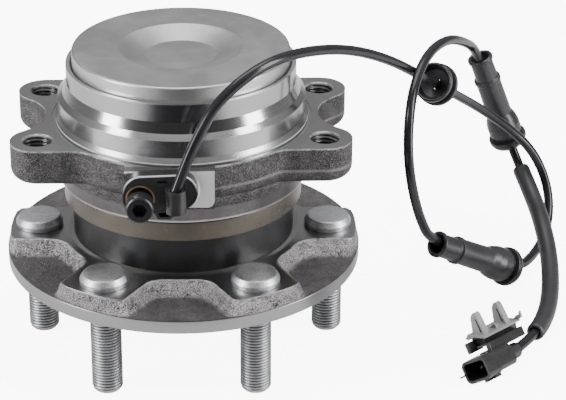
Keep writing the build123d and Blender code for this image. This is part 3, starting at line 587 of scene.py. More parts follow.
def zinc_material(colour):
    """Zinc plate: mottled crystals, a little duller where it was handled, and painted shade darkening the
    thread roots by their depth.
    """
    made, tree, shader = bare_material("zinc_plate", Metallic=1.0)
    grain = place_group(tree, "forging", Grains_per_metre=1600.0, Patches_per_metre=260.0, Sparkle=0.1)
    hand = place_group(tree, "handling", Smudges_per_metre=150.0)
    tone = shades(tree, grain["Shade"], colour, 0.8, 1.12)
    tone = blend_colour(tree, product(tree, hand["Scuff"], 0.5), tone, rgba(colour, 0.55))
    # Painted shade: the thread roots are darkened by the studs' attribute of depth below the crests
    thread_root_shade = node(tree, "ShaderNodeAttribute", attribute_name="thread_root_shade").outputs["Fac"]
    tone = blend_colour(tree, thread_root_shade, tone, rgba(colour, 0.08))
    surfaced(tree, shader, tone, blend_value(tree, hand["Smudge"], 0.38, 0.5), grain["Height"], 0.00003)
    return made


def brass_material(colour):
    """Brass bush: a bright knurled ring round a bore of painted shade, by distance and angle from the axis of
    the bush.
    """
    made, tree, shader = bare_material("brass", Metallic=0.6, Roughness=0.3)
    x, _, z = object_place(tree)
    across = maths(tree, "SUBTRACT", x, BUSH_PLACE[0] * MM)
    up = maths(tree, "SUBTRACT", z, BUSH_PLACE[1] * MM)
    ring = rising(tree, distance(tree, across, up), *BUSH_RING)
    knurl = maths(tree, "SINE", product(tree, maths(tree, "ARCTAN2", up, across), BUSH_KNURLS))
    bright = shades(tree, spread(tree, knurl, -0.6, 0.6), colour, 0.45, 1.5)
    # Painted shade inside the ring, brass outside it
    wire(tree, blend_colour(tree, ring, BUSH_BORE_SHADE, bright), shader.inputs["Base Color"])
    return made


def bead_material(colour):
    """Moulded bead with a painted highlight: its upper side is lighter and rougher, by height."""
    made, tree, shader = bare_material("bead_painted_highlight")
    # Painted highlight, rising with height along the bead
    highlight_share = rising(tree, object_place(tree)[2], 87.0, 94.0)
    surfaced(tree, shader, shades(tree, highlight_share, colour, 1.0, 26.0), blend_value(tree, highlight_share, 0.22, 0.32))
    return made


def pressed_steel_material(colour):
    """Pressed sheet: an even satin skin with faint clouds."""
    made, tree, shader = bare_material("cap_steel", Metallic=1.0)
    hand = place_group(tree, "handling", Smudges_per_metre=45.0, Scuffs_per_metre=900.0)
    tone = shades(tree, hand["Smudge"], colour, 0.92, 1.06)
    tone = blend_colour(tree, product(tree, hand["Scuff"], 0.25), tone, rgba(colour, 0.7))
    surfaced(tree, shader, tone, blend_value(tree, hand["Smudge"], 0.36, 0.42), hand["Height"], 0.00001)
    return made


MATERIALS = {}


def finish_named(name):
    """The finish of that name, made on its first use from the panel's colours."""
    if name in MATERIALS:
        return MATERIALS[name]
    colours = bpy.context.scene.hub_bearing_colours
    makers = {
        "hub": lambda: forged_hub_material(colours),
        "housing": lambda: housing_material(colours),
        "cap": lambda: pressed_steel_material(colours.cap_steel),
        "zinc": lambda: zinc_material(colours.zinc),
        "tan": lambda: coat_material("tan_coat", colours.tan_coat, 0.26, 0.34, metallic=0.5, lighter=1.08),
        "black_coat": lambda: coat_material(
            "black_coat", colours.black_coat, 0.34, 0.46, lighter=1.6, smudges=70.0),
        "lead": lambda: coat_material(
            "lead_jacket", colours.lead_black, 0.14, 0.2, depth=0.000004, shine=0.34),
        "rubber": lambda: coat_material("rubber", colours.rubber, 0.3, 0.4, depth=0.000008, scuffs=900.0),
        "sleeve": lambda: coat_material(
            "sleeve_rubber", colours.rubber, 0.38, 0.46, depth=0.000008, scuffs=900.0),
        "plastic": lambda: coat_material(
            "moulded_plastic", colours.plastic, 0.18, 0.26, depth=0.000006, scuffs=1500.0),
        "bead": lambda: bead_material(colours.plastic),
        "screw": lambda: coat_material("blackened_steel", colours.plastic, 0.26, 0.4, metallic=0.4),
        "clip": lambda: coat_material("clip_plastic", colours.clip_grey, 0.3, 0.4, lighter=1.1, depth=0.00001),
        "brass": lambda: brass_material(colours.brass),
        "contacts": lambda: turned_steel_material((0.7, 0.69, 0.66), "tinned_contacts", 0.2, 0.3, across=0.0),
        "ground": lambda: turned_steel_material((0.6, 0.6, 0.61), "ground_steel", 0.08, 0.16, depth=0.000004),
        # Painted shade: turned steel darkened to 0.3 so the threads in the ear holes read dark; the encoder
        # ring and seal parts share it
        "thread": lambda: turned_steel_material(
            rgba(colours.turned_steel, 0.3)[:3], "shaded_thread", 0.3, 0.42, across=0.0),
        "cage": lambda: coat_material("cage_plastic", (0.62, 0.56, 0.42), 0.4, 0.5),
    }
    MATERIALS[name] = makers[name]()
    return MATERIALS[name]


def mesh_of(name, points, faces, material):
    """Mesh with one material, from faces as rows of four corners, where a triangle repeats its last corner."""
    mesh = bpy.data.meshes.new(name)
    corners = [row[:3] if row[2] == row[3] else row for row in faces.tolist()]
    mesh.from_pydata(points.tolist(), [], corners)
    mesh.materials.append(material)
    return mesh


def linked(made):
    """The object itself, put into the scene."""
    bpy.context.scene.collection.objects.link(made)
    return made


def piece_from(name, points, faces, finish, body, replaces=(), attributes=None):
    """Smooth piece of the model from points in metres; it rides a body and replaces nodes of the frame."""
    mesh = mesh_of(name, points, faces, finish_named(finish))
    mesh.polygons.foreach_set("use_smooth", np.ones(len(mesh.polygons), bool))
    for label, values in (attributes or {}).items():
        mesh.attributes.new(label, "FLOAT", "POINT").data.foreach_set("value", np.asarray(values, np.float32))
    mesh.update()
    made = linked(bpy.data.objects.new(name, mesh))
    made.modifiers.new("Even shading", "WEIGHTED_NORMAL").keep_sharp = True
    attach(made, body)
    if replaces:
        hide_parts(*replaces)
    return made


def copied(points, faces, places):
    """One mesh of copies, each moved to its place."""
    moved = points[None] + np.asarray(places)[:, None]
    numbered = faces[None] + (np.arange(len(places)) * len(points))[:, None, None]
    return moved.reshape(-1, 3), numbered.reshape(-1, 4)


def softened(points, radii, steps=4):
    """Outline whose corners are arcs: each corner's arc of its own radius touches both of its edges."""
    points = np.asarray(points, float)
    rows = []
    count = len(points)
    for place in range(count):
        corner, before, after = points[place], points[place - 1], points[(place + 1) % count]
        radius = radii[place] if np.ndim(radii) else radii
        to_before, to_after = before - corner, after - corner
        length_before, length_after = np.linalg.norm(to_before), np.linalg.norm(to_after)
        if radius <= 0 or min(length_before, length_after) < 1e-9:
            rows.append(corner[None])
            continue
        to_before, to_after = to_before / length_before, to_after / length_after
        half = math.acos(float(np.clip(to_before @ to_after, -1, 1))) / 2
        if half > math.pi / 2 - 0.02:
            rows.append(corner[None])
            continue
        setback = min(radius / math.tan(half), 0.48 * length_before, 0.48 * length_after)
        radius = setback * math.tan(half)
        inward = (to_before + to_after) / np.linalg.norm(to_before + to_after)
        centre = corner + inward * radius / math.sin(half)
        start, end = corner + to_before * setback - centre, corner + to_after * setback - centre
        share = np.linspace(0, 1, steps + 1)[:, None]
        turn = math.acos(float(np.clip(start @ end / radius**2, -1, 1)))
        swept = np.sin((1 - share) * turn) * start + np.sin(share * turn) * end
        rows.append(centre + swept / math.sin(turn))
    return np.concatenate(rows)


def thinned_out(profile, longest):
    """Profile with extra points so that no stretch is longer than the given one."""
    profile = np.asarray(profile, float)
    steps = np.linalg.norm(np.diff(profile, axis=0), axis=1)
    counts = np.maximum(1, np.ceil(steps / longest)).astype(int)
    place = np.concatenate([np.arange(n) / n + k for k, n in enumerate(counts)] + [[len(steps)]])
    return np.stack([np.interp(place, np.arange(len(profile)), profile[:, axis]) for axis in (0, 1)], 1)


def grid_faces(rows, columns, wrap_rows=False, wrap_columns=True):
    """Corner numbers of every quad of a grid, wrapping round where asked."""
    top = rows if wrap_rows else rows - 1
    side = columns if wrap_columns else columns - 1
    row, column = np.meshgrid(np.arange(top), np.arange(side), indexing="ij")
    next_row, next_column = (row + 1) % rows, (column + 1) % columns
    return np.stack([row * columns + column, next_row * columns + column,
                     next_row * columns + next_column, row * columns + next_column], -1).reshape(-1, 4)


def turned_mesh(profile, steps, closed=True):
    """Surface of revolution about Z: a profile of radius and height one way, the angle the other way.

    A point is radius times cosine and sine of the angle, and height. Ends on the axis become one point.
    """
    profile = np.asarray(profile, float)
    on_axis = profile[:, 0] < 1e-9
    ring = profile[~on_axis]
    angle = np.arange(steps) / steps * 2 * np.pi
    points = np.stack([np.outer(ring[:, 0], np.cos(angle)), np.outer(ring[:, 0], np.sin(angle)),
                       np.repeat(ring[:, 1:2], steps, 1)], -1).reshape(-1, 3)
    poles = profile[on_axis]
    faces = grid_faces(len(ring), steps, wrap_rows=closed and not len(poles))
    if len(poles):
        first, last = len(points), len(points) + len(poles) - 1
        points = np.concatenate([points, np.stack([0 * poles[:, 0], 0 * poles[:, 0], poles[:, 1]], 1)])
        here = np.arange(steps)
        there = (here + 1) % steps
        base = (len(ring) - 1) * steps
        start_fan = np.stack([0 * here + first, here, there, there], 1)
        end_fan = np.stack([0 * here + last, base + there, base + here, base + here], 1)
        if on_axis[0]:
            faces = np.concatenate([faces, start_fan])
        if on_axis[-1]:
            faces = np.concatenate([faces, end_fan])
    inside = profile[:, 0] @ (np.roll(profile[:, 1], -1) - np.roll(profile[:, 1], 1))
    if inside < 0:
        faces = np.where(faces[:, 2:3] == faces[:, 3:4], faces[:, [0, 2, 1, 1]], faces[:, ::-1])
    return points, faces


def set_on_axis(points, origin, along):
    """Turned points moved from Z onto a line: origin plus across, sideways and along times x, y and z."""
    along = np.asarray(along, float) / np.linalg.norm(along)
    across = np.cross(along, (0, 0, 1.0) if abs(along[2]) < 0.95 else (1.0, 0, 0))
    across /= np.linalg.norm(across)
    return np.asarray(origin) + points @ np.stack([across, np.cross(along, across), along])


def uneven(points, wavelength, seed, waves=48):
    """Smooth seeded unevenness from -1 to 1: a sum of plane waves of like wavelength in random directions."""
    chance = np.random.default_rng(seed)
    direction = chance.normal(size=(waves, 3))
    direction /= np.linalg.norm(direction, axis=1)[:, None]
    stretch = chance.uniform(0.7, 1.6, waves)
    phase = chance.uniform(0, 2 * np.pi, waves)
    value = np.cos(points @ (direction * stretch[:, None]).T * 2 * np.pi / wavelength + phase).sum(1)
    return value / math.sqrt(waves)


def arc_points(centre, radius, start, end, steps):
    """Points on an arc of radius and height, from one angle in degrees to another."""
    angle = np.radians(np.linspace(start, end, steps))
    return [(centre[0] + radius * math.cos(a), centre[1] + radius * math.sin(a)) for a in angle]


def stud_angles():
    """Angles of the six studs, in radians."""
    return np.radians(HUB_TURN + 60 * np.arange(6))


def pad_distance(x, y):
    """Signed distance from the edge of plateau and pads, in mm: below zero on them, above zero in a pocket.

    The least of a circle's and six bars' distances, blended softly where they meet in a corner. Distance past
    a bar's outer end counts more than twice, because that end falls steeply to the rim. Its corners are round.
    """
    far = 40.0
    radius = np.hypot(x, y)
    edge = radius - PLATEAU_RADIUS
    for angle in stud_angles():
        along = x * math.cos(angle) + y * math.sin(angle)
        beside = np.abs(-x * math.sin(angle) + y * math.cos(angle)) - PAD_HALF_WIDTH + PAD_ROUNDING
        beyond = (radius - PAD_REACH) * PAD_END_STEEPNESS + PAD_ROUNDING
        pad = np.hypot(beside.clip(0), beyond.clip(0)) + np.maximum(beside, beyond).clip(None, 0)
        pad = np.where(along > 0, pad - PAD_ROUNDING, far)
        blend = np.clip(PAD_BLEND - np.abs(edge - pad), 0, None)
        edge = np.minimum(edge, pad) - blend**2 / (4 * PAD_BLEND)
    return edge


def hub_shape():
    """Hub as one turned surface, its flange's back face still flat and with rows close enough for the pockets.

    From the blind end of the spindle's hollow over wheel side, rim, back, neck and race to the rolled end.
    """
    rim_edge = RIM_RADIUS - 0.3
    hollow = softened(
        [(0, 66.92), (12.0, 66.92), (20.0, 58.92), (27.0, 44.92), (27.0, 24.92), (31.8, 24.92), (33.0, 26.12),
         (33.0, WHEEL_FACE), (69.2, WHEEL_FACE)],
        [0, 2.0, 2.5, 2.5, 0.4, 0.3, 0.3, 0.3, 0.0])
    rim = [(rim_edge, WHEEL_FACE), (RIM_RADIUS, WHEEL_FACE + 0.3), (RIM_RADIUS, RIM_TOP - 0.35),
           (RIM_RADIUS - 0.05, RIM_TOP - 0.12)]
    reach = np.concatenate([np.linspace(46.9, 68.2, 98), np.linspace(68.3, rim_edge, 14)])
    back = np.stack([reach, np.full(len(reach), FLANGE_BACK)], 1)
    seat = [(45.7, FLANGE_BACK), (45.2, FLANGE_BACK + 0.11), (44.6, FLANGE_BACK + 0.35),
            (44.0, FLANGE_BACK + 0.65), (43.55, FLANGE_BACK + 0.92)]
    neck = [(NECK_RADIUS, FLANGE_BACK + SEAT_HEIGHT), (NECK_RADIUS, NECK_TOP - 0.8),
            (NECK_RADIUS - 0.8, NECK_TOP), (33.5, NECK_TOP), (33.5, NECK_TOP + 6.1), (32.0, NECK_TOP + 6.9)]
    race = arc_points((34.5, OUTBOARD_ROW), 6.65, 248, 157, 12)
    spindle = [(28.4, OUTBOARD_ROW + 3), (28.4, 92.6), (24.0, 92.6), (24.0, 109.4), (28.2, 109.4),
               (28.2, 111.5), (26.7, 113.0), (13.5, 113.0), (12.0, 111.5), (12.0, 107.0), (0.0, 107.0)]
    profile = np.concatenate([hollow[:-1], rim, back[::-1], seat, neck, race, spindle])
    return turned_mesh(thinned_out(profile, 7.0), 474)


def hub_pockets(points, relief):
    """Lowers the back face into the pockets and roughens it; returns points with forged shares and shares of
    painted sheen and glints on the walls.

    Height is that of the pocket's wall over the distance from the pads, plus unevenness that is most on the
    wall and fades to nothing at the rim.
    """
    points = points.copy()
    radius = np.hypot(points[:, 0], points[:, 1])
    on_back = (radius > 47.0) & (radius < 69.5) & (np.abs(points[:, 2] - FLANGE_BACK) < 0.2)
    edge = pad_distance(points[:, 0], points[:, 1])
    wall = softened(
        [(-30.0, FLANGE_BACK), (0.0, FLANGE_BACK), (2.3, RIM_TOP), (30.0, RIM_TOP)], [0, 1.1, 2.2, 0], 8)
    level = np.interp(edge, wall[1:, 0], wall[1:, 1])
    bumps = 0.6 * uneven(points, 2.6, 11) + 0.4 * uneven(points, 1.3, 12)
    slope = np.exp(-(((edge - 1.0) / 1.8) ** 2))
    rough = np.where(on_back & (edge > -0.5), relief * (0.35 + 0.65 * slope) * bumps, 0)
    height = np.where(on_back, level + rough, points[:, 2])
    near_rim = np.where(edge > 1.5, np.clip(69.5 - radius, 0, 1), 1)
    points[:, 2] = np.where(on_back, RIM_TOP + (height - RIM_TOP) * near_rim, height)
    forged = np.where(on_back, np.clip((edge + 0.5) / 0.8, 0, 1), 0)
    # Share of painted sheen and glints, most on the pocket walls' slope
    glinting = np.where(on_back, np.clip(slope * 1.1, 0, 1), 0)
    return points, forged, glinting


class HUB_OT_forged_hub(bpy.types.Operator):
    """Hub with its pocketed wheel flange, neck, raceway and spindle"""

    bl_idname = "hub_bearing.forged_hub"
    bl_label = "Forged hub"

    def execute(self, context):
        points, faces = hub_shape()
        points, forged, glinting = hub_pockets(points, context.scene.hub_bearing_sizes.forging_relief / MM)
        piece_from("hub_forging", points * MM, faces, "hub", "hub", ["hub_flange"],
                   attributes={"forged": forged, "glinting": glinting})
        return {"FINISHED"}


def thread_radius(height, angle, low, high, pitch, crest, depth):
    """Radius of a right-hand thread: a trapezoid wave over height plus angle, fading out at both ends."""
    turn = (height / pitch - angle / (2 * np.pi)) % 1.0
    tooth = np.clip(2.6 * np.abs(turn - 0.5) - 0.15, 0, 1)
    fade = np.clip((height - low) / pitch, 0, 1) * np.clip((high - height) / pitch, 0, 1)
    return crest - depth * tooth * fade


class HUB_OT_wheel_studs(bpy.types.Operator):
    """Six plated wheel studs with rolled threads and bevelled heads"""

    bl_idname = "hub_bearing.wheel_studs"
    bl_label = "Wheel studs"

    def execute(self, context):
        sizes = context.scene.hub_bearing_sizes
        pitch, depth = sizes.stud_pitch / MM, sizes.thread_depth / MM
        tip = [(0, 0), (4.3, 0), (4.75, 0.25), (5.6, 1.2)]
        shank = [(STUD_RADIUS, h) for h in np.arange(1.9, 32.6, pitch / 7)]
        top = (0, FLANGE_BACK + 4.2)
        head = softened(
            [(6.35, 34.0), (6.35, FLANGE_BACK), (9.2, FLANGE_BACK), (9.3, FLANGE_BACK + 1.9),
             (8.0, FLANGE_BACK + 4.05), (6.4, top[1]), top],
            [0, 0, 0.2, 0.5, 0.8, 1.0, 0])[:-1]
        profile = np.concatenate([tip, shank, head, [top]])
        points, faces = turned_mesh(profile, 36)
        angle = np.arctan2(points[:, 1], points[:, 0])
        radius = np.hypot(points[:, 0], points[:, 1])
        threaded = (points[:, 2] > 1.5) & (points[:, 2] < 32.7) & (radius > 5.9)
        wave = thread_radius(points[:, 2], angle, 1.2, 32.4, pitch, STUD_RADIUS, depth)
        points[:, :2] *= np.where(threaded, wave / np.maximum(radius, 1e-6), 1.0)[:, None]
        # Share of painted shade in the thread roots: depth below the crests
        thread_root_shade = np.where(threaded, (STUD_RADIUS - wave) / depth, 0.0)
        places = [(STUD_CIRCLE * math.cos(a), STUD_CIRCLE * math.sin(a), 0.0) for a in stud_angles()]
        points, faces = copied(points, faces, places)
        piece_from("wheel_stud_set", points * MM, faces, "zinc", "hub", ["wheel_studs"],
                   attributes={"thread_root_shade": np.tile(thread_root_shade, len(places))})
        return {"FINISHED"}


class HUB_OT_neck_bands(bpy.types.Operator):
    """Black coated dust sleeve on the neck and tan coated dust ring above it"""

    bl_idname = "hub_bearing.neck_bands"
    bl_label = "Neck bands"

    def execute(self, context):
        steps = context.scene.hub_bearing_sizes.round_steps
        foot, top, outer = FLANGE_BACK + SEAT_HEIGHT, NECK_TOP + 1.0, NECK_RADIUS + 1.2
        sleeve = softened(
            [(NECK_RADIUS, foot), (outer, foot), (outer, top), (NECK_RADIUS, top)], [0.1, 0.25, 0.6, 0.1])
        points, faces = turned_mesh(sleeve, steps)
        piece_from("neck_sleeve", points * MM, faces, "black_coat", "hub", ["dust_sleeve"])
        top, inner, outer = 69.39, 45.0, 46.5
        ring = softened(
            [(inner, HOUSING_BASE), (outer, HOUSING_BASE), (outer, top), (inner, top)], [0.1, 0.4, 0.25, 0.1])
        points, faces = turned_mesh(ring, steps)
        piece_from("tan_ring", points * MM, faces, "tan", "housing", ["dust_ring"])
        return {"FINISHED"}


class HUB_OT_end_cap(bpy.types.Operator):
    """Pressed end cap with soft folds round its dish"""

    bl_idname = "hub_bearing.end_cap"
    bl_label = "End cap"

    def execute(self, context):
        steps = context.scene.hub_bearing_sizes.round_steps
        dish, under, under_dish = CAP_TOP - CAP_DISH, CAP_TOP - CAP_WALL, CAP_TOP - CAP_DISH - CAP_WALL
        outline = softened(
            [(0, dish), (13.8, dish), (23.8, CAP_TOP), (41.9, CAP_TOP), (42.0, CAP_SEAT),
             (40.6, CAP_SEAT), (40.5, under), (23.8, under), (13.8, under_dish), (0, under_dish)],
            [0, 0.5, 1.6, 1.0, 0.2, 0.2, 0.8, 2.0, 2.0, 0], 7)
        points, faces = turned_mesh(outline, steps)
        piece_from("pressed_cap", points * MM, faces, "cap", "housing", ["end_cap"])
        return {"FINISHED"}


def dress_node(name, finish, soften=0.0, angle=35.0):
    """Gives a node of the frame its finish, with worn edges of a given width made by modifiers where asked."""
    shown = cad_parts[name]
    shown.data.materials.clear()
    shown.data.materials.append(finish_named(finish))
    if soften:
        weld = shown.modifiers.new("Join triangles", "WELD")
        weld.merge_threshold = 0.000005
        glinting = shown.modifiers.new("Worn edges", "BEVEL")
        glinting.width = soften
        glinting.segments = 2
        glinting.limit_method = "ANGLE"
        glinting.angle_limit = math.radians(angle)
        glinting.miter_outer = "MITER_ARC"
        shown.modifiers.new("Even shading", "WEIGHTED_NORMAL").keep_sharp = True
    return shown


class HUB_OT_housing(bpy.types.Operator):
    """Forged and turned housing, with the threads of its four ears"""

    bl_idname = "hub_bearing.housing"
    bl_label = "Housing"

    def execute(self, context):
        dress_node("outer_ring", "housing")
        low, high, pitch, depth, behind = 79.4, KNUCKLE_FACE - 0.9, 1.5, 0.75, EAR_HOLE_RADIUS + 0.04
        inner = np.stack([np.full(80, EAR_HOLE_RADIUS), np.linspace(high, low, 80)], 1)
        points, faces = turned_mesh(np.concatenate([inner, [(behind, low), (behind, high)]]), 40)
        angle = np.arctan2(points[:, 1], points[:, 0])
        radius = np.hypot(points[:, 0], points[:, 1])
        turn = (points[:, 2] / pitch - angle / (2 * np.pi)) % 1.0
        crest = np.clip(2.4 * np.abs(turn - 0.5) - 0.1, 0, 1) * depth
        fade = np.clip((high - points[:, 2]) / 0.8, 0, 1)
        facing = radius < (EAR_HOLE_RADIUS + behind) / 2
        points[:, :2] *= np.where(facing, (EAR_HOLE_RADIUS - crest * fade) / radius, 1.0)[:, None]
        points, faces = copied(points, faces, [(x, y, 0.0) for x, y in EAR_PLACES])
        piece_from("ear_threads", points * MM, faces, "thread", "housing")
        return {"FINISHED"}


class HUB_OT_bearing_inside(bpy.types.Operator):
    """Finishes of balls, cages, inner ring, encoder ring and seal"""

    bl_idname = "hub_bearing.bearing_inside"
    bl_label = "Bearing inside"

    def execute(self, context):
        for name in ("outboard_balls", "inboard_balls", "inner_ring"):
            dress_node(name, "ground")
        for name in ("outboard_cage", "inboard_cage"):
            dress_node(name, "cage")
        for name in ("encoder_ring", "seal_slinger", "outboard_seal_case"):
            dress_node(name, "thread")
        dress_node("outboard_seal_lip", "rubber")
        return {"FINISHED"}


def plate_edge(inward, count=96):
    """Outline of the sensor plate across and up: the farthest of its three discs in every direction."""
    angle = np.linspace(0, 2 * np.pi, count, endpoint=False)
    out = np.stack([np.cos(angle), np.sin(angle)], 1)
    reach = np.stack([out @ np.array(disc[:2]) + disc[2] - inward for disc in PLATE_DISCS], 1)
    chosen = np.array(PLATE_DISCS)[reach.argmax(1)]
    corners = chosen[:, :2] + out * (chosen[:, 2:] - inward)
    closed = np.concatenate([corners, corners[:1]])
    along = np.concatenate([[0], np.cumsum(np.linalg.norm(np.diff(closed, axis=0), axis=1))])
    place = np.linspace(0, along[-1], 2 * count, endpoint=False)
    return np.stack([np.interp(place, along, closed[:, axis]) for axis in (0, 1)], 1)


def bead_round(outline, front, radius, steps=12):
    """Round bead along a closed flat outline.

    A point is the outline plus radius times cosine outward, and the front minus radius times sine.
    """
    ahead = np.roll(outline, -1, axis=0) - np.roll(outline, 1, axis=0)
    outward = np.stack([ahead[:, 1], -ahead[:, 0]], 1) / np.linalg.norm(ahead, axis=1)[:, None]
    angle = np.arange(steps) / steps * 2 * np.pi
    flat = outline[:, None] + outward[:, None] * (radius * np.cos(angle))[None, :, None]
    depth = np.broadcast_to(front - radius * np.sin(angle), flat.shape[:2])
    points = np.stack([flat[..., 0], depth, flat[..., 1]], -1).reshape(-1, 3)
    return points, grid_faces(len(outline), steps, wrap_rows=True)


class HUB_OT_speed_sensor(bpy.types.Operator):
    """Speed sensor with its bush, rubber ring and socket head screw"""

    bl_idname = "hub_bearing.speed_sensor"
    bl_label = "Speed sensor"

    def execute(self, context):
        softness = context.scene.hub_bearing_sizes.edge_softness
        dress_node("sensor_body", "plastic", softness * 1.6)
        points, faces = bead_round(plate_edge(BEAD_INSET), PLATE_FRONT, BEAD_RADIUS)
        piece_from("plate_bead", points * MM, faces, "bead", "housing")
        dress_node("sensor_bush", "brass", softness / 2)
        dress_node("sensor_oring", "rubber")
        dress_node("sensor_screw", "screw", softness)
        return {"FINISHED"}


def cord_line(curve_object):
    """Points of a curve's own smooth line, read from its spline with the bevel taken off for the reading."""
    curve = curve_object.data
    depth, curve.bevel_depth = curve.bevel_depth, 0.0
    plain = bpy.data.meshes.new_from_object(curve_object)
    curve.bevel_depth = depth
    line = np.zeros(len(plain.vertices) * 3)
    plain.vertices.foreach_get("co", line)
    bpy.data.meshes.remove(plain)
    return line.reshape(-1, 3)


def stretch_of(line, start, end, count):
    """Evenly spaced points of a line between two distances along it, with the directions there."""
    along = np.concatenate([[0], np.cumsum(np.linalg.norm(np.diff(line, axis=0), axis=1))])
    place = np.linspace(start, end, count)
    points = np.stack([np.interp(place, along, line[:, axis]) for axis in range(3)], 1)
    direction = np.gradient(points, axis=0)
    return points, direction / np.linalg.norm(direction, axis=1)[:, None]


def line_length(line):
    """Length of a line of points."""
    return float(np.linalg.norm(np.diff(line, axis=0), axis=1).sum())


def carried(points, direction, section, steps):
    """Tube along a line: each row is a circle whose centre and radius the section gives along the line.

    A point is the centre plus radius times cosine and sine of the angle across the line.
    """
    across = np.cross(direction, (1.0, 0.0, 0.0))
    across /= np.linalg.norm(across, axis=1)[:, None]
    other = np.cross(direction, across)
    angle = np.arange(steps) / steps * 2 * np.pi
    rows = section[:, 0].astype(int)
    ring = np.cos(angle)[None, :, None] * across[rows][:, None]
    ring = ring + np.sin(angle)[None, :, None] * other[rows][:, None]
    made = points[rows][:, None] + ring * section[:, 1][:, None, None]
    return made.reshape(-1, 3), grid_faces(len(section), steps, wrap_rows=True)


LEAD = {}


class HUB_OT_sensor_lead(bpy.types.Operator):
    """Sensor lead as a smooth curve, and the rubber sleeve round its last stretch"""

    bl_idname = "hub_bearing.sensor_lead"
    bl_label = "Sensor lead"

    def execute(self, context):
        curve = bpy.data.curves.new("sensor_lead_jacket", "CURVE")
        curve.dimensions = "3D"
        curve.resolution_u = 12
        curve.bevel_depth = 1.0
        curve.bevel_resolution = 6
        curve.use_fill_caps = True
        spline = curve.splines.new("NURBS")
        spline.points.add(len(LEAD_ROUTE) - 1)
        weighted = np.array([point + (1.0,) for point in LEAD_ROUTE], np.float32)
        spline.points.foreach_set("co", weighted.ravel())
        spline.points.foreach_set("radius", np.full(len(LEAD_ROUTE), LEAD_RADIUS, np.float32))
        spline.order_u = 3
        spline.use_endpoint_u = True
        spline.use_smooth = True
        lead = linked(bpy.data.objects.new("sensor_lead_jacket", curve))
        curve.materials.append(finish_named("lead"))
        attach(lead, "housing")
        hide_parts("sensor_lead")
        LEAD["object"] = lead
        LEAD["line"] = cord_line(lead)
        whole = line_length(LEAD["line"])
        rows, bore, flare, edge, outer = 90, 0.0023, 0.0026, 0.0034, 0.0037
        points, direction = stretch_of(LEAD["line"], whole - SLEEVE_START, whole - SLEEVE_END, rows)
        mouth = [(0, flare), (0, edge), (1, outer)]
        outside = [(k, outer) for k in range(2, rows - 2)]
        end = [(rows - 2, outer), (rows - 1, edge), (rows - 1, flare)]
        inside = [(k, bore) for k in range(rows - 1, -1, -1)]
        made, faces = carried(points, direction, np.array(mouth + outside + end + inside, float), 32)
        sleeve = piece_from("rubber_sleeve", made, faces, "sleeve", "housing", ["lead_sleeve"])
        LEAD["pieces"] = [sleeve]
        return {"FINISHED"}


# Grommet outlines in mm, of radius and distance along the lead, and the rounding of each corner
LONG_GROMMET = [
    (2.35, 12.0), (4.0, 0.2), (4.6, 0.0), (5.5, 0.4), (5.5, 1.6), (4.8, 2.1), (4.9, 10.9), (5.8, 11.3),
    (5.8, 12.9), (5.3, 13.4), (5.5, 30.0), (6.6, 33.0), (7.2, 36.0), (7.2, 40.3), (6.1, 40.6), (6.1, 42.2),
    (8.2, 42.4), (8.2, 44.4), (7.2, 46.2), (4.7, 46.1), (2.35, 34.2),
]
LONG_ROUNDING = [
    0, 0.3, 0.4, 0.5, 0.4, 0.3, 0.3, 0.3, 0.4, 0.3, 4.0, 3.0, 2.0, 0.5, 0.2, 0.2, 0.4, 0.9, 0.5, 0.4, 0,
]
SHORT_GROMMET = [
    (2.35, 7.2), (2.35, 5.1), (2.05, 4.9), (2.05, 4.6), (6.0, 3.2), (7.2, 0.2), (7.6, 0.0), (8.3, 0.6),
    (8.3, 2.1), (6.4, 2.4), (6.4, 4.4), (8.8, 4.8), (8.8, 6.7), (8.0, 7.2),
]
SHORT_ROUNDING = [0, 0, 0, 0, 0.6, 0.3, 0.3, 0.6, 0.3, 0.2, 0.2, 0.4, 0.5, 0.3]


class HUB_OT_grommets(bpy.types.Operator):
    """Three rubber grommets threaded on the lead"""

    bl_idname = "hub_bearing.grommets"
    bl_label = "Grommets"

    def execute(self, context):
        short, long = (SHORT_GROMMET, SHORT_ROUNDING), (LONG_GROMMET, LONG_ROUNDING)
        for name, node_name, (outline, rounding), run, start in (
            ("short_grommet", "grommet_short", short, SHORT_GROMMET_RUN, 0.0128),
            ("lower_grommet", "grommet_lower", long, LOWER_GROMMET_RUN[::-1], 0.0027),
            ("upper_grommet", "grommet_upper", long, UPPER_GROMMET_RUN, 0.0036),
        ):
            ends = np.array(run)
            along = (ends[1] - ends[0]) / np.linalg.norm(ends[1] - ends[0])
            points, faces = turned_mesh(softened(outline, rounding, 5), 64)
            made = set_on_axis(points * MM, ends[0] + along * start, along)
            grommet = piece_from(name, made, faces, "rubber", "housing", [node_name])
            LEAD["pieces"].append(grommet)
        return {"FINISHED"}


class HUB_OT_connector(bpy.types.Operator):
    """Connector with its seal, contacts, clip holder and clip"""

    bl_idname = "hub_bearing.connector"
    bl_label = "Connector"

    def execute(self, context):
        softness = context.scene.hub_bearing_sizes.edge_softness
        LEAD["pieces"] += [
            dress_node("connector_shell", "plastic", softness / 2),
            dress_node("connector_seal", "rubber"),
            dress_node("connector_terminals", "contacts"),
            dress_node("clip_holder", "plastic", softness / 2),
            dress_node("mounting_clip", "clip", softness / 2),
        ]
        return {"FINISHED"}


class HUB_OT_declare_lead(bpy.types.Operator):
    """Does nothing: the lead is not declared as a free cord here"""

    bl_idname = "hub_bearing.declare_lead"
    bl_label = "Declare the lead"

    def execute(self, context):
        return {"FINISHED"}


def soft_light(name, place, aim, size, power):
    """Area light at a place in metres, aimed at a point."""
    light = bpy.data.lights.new(name, "AREA")
    light.shape = "RECTANGLE"
    light.size, light.size_y = size
    light.energy = power
    made = linked(bpy.data.objects.new(name, light))
    made.location = place
    made.rotation_euler = (Vector(aim) - Vector(place)).to_track_quat("-Z", "Y").to_euler()


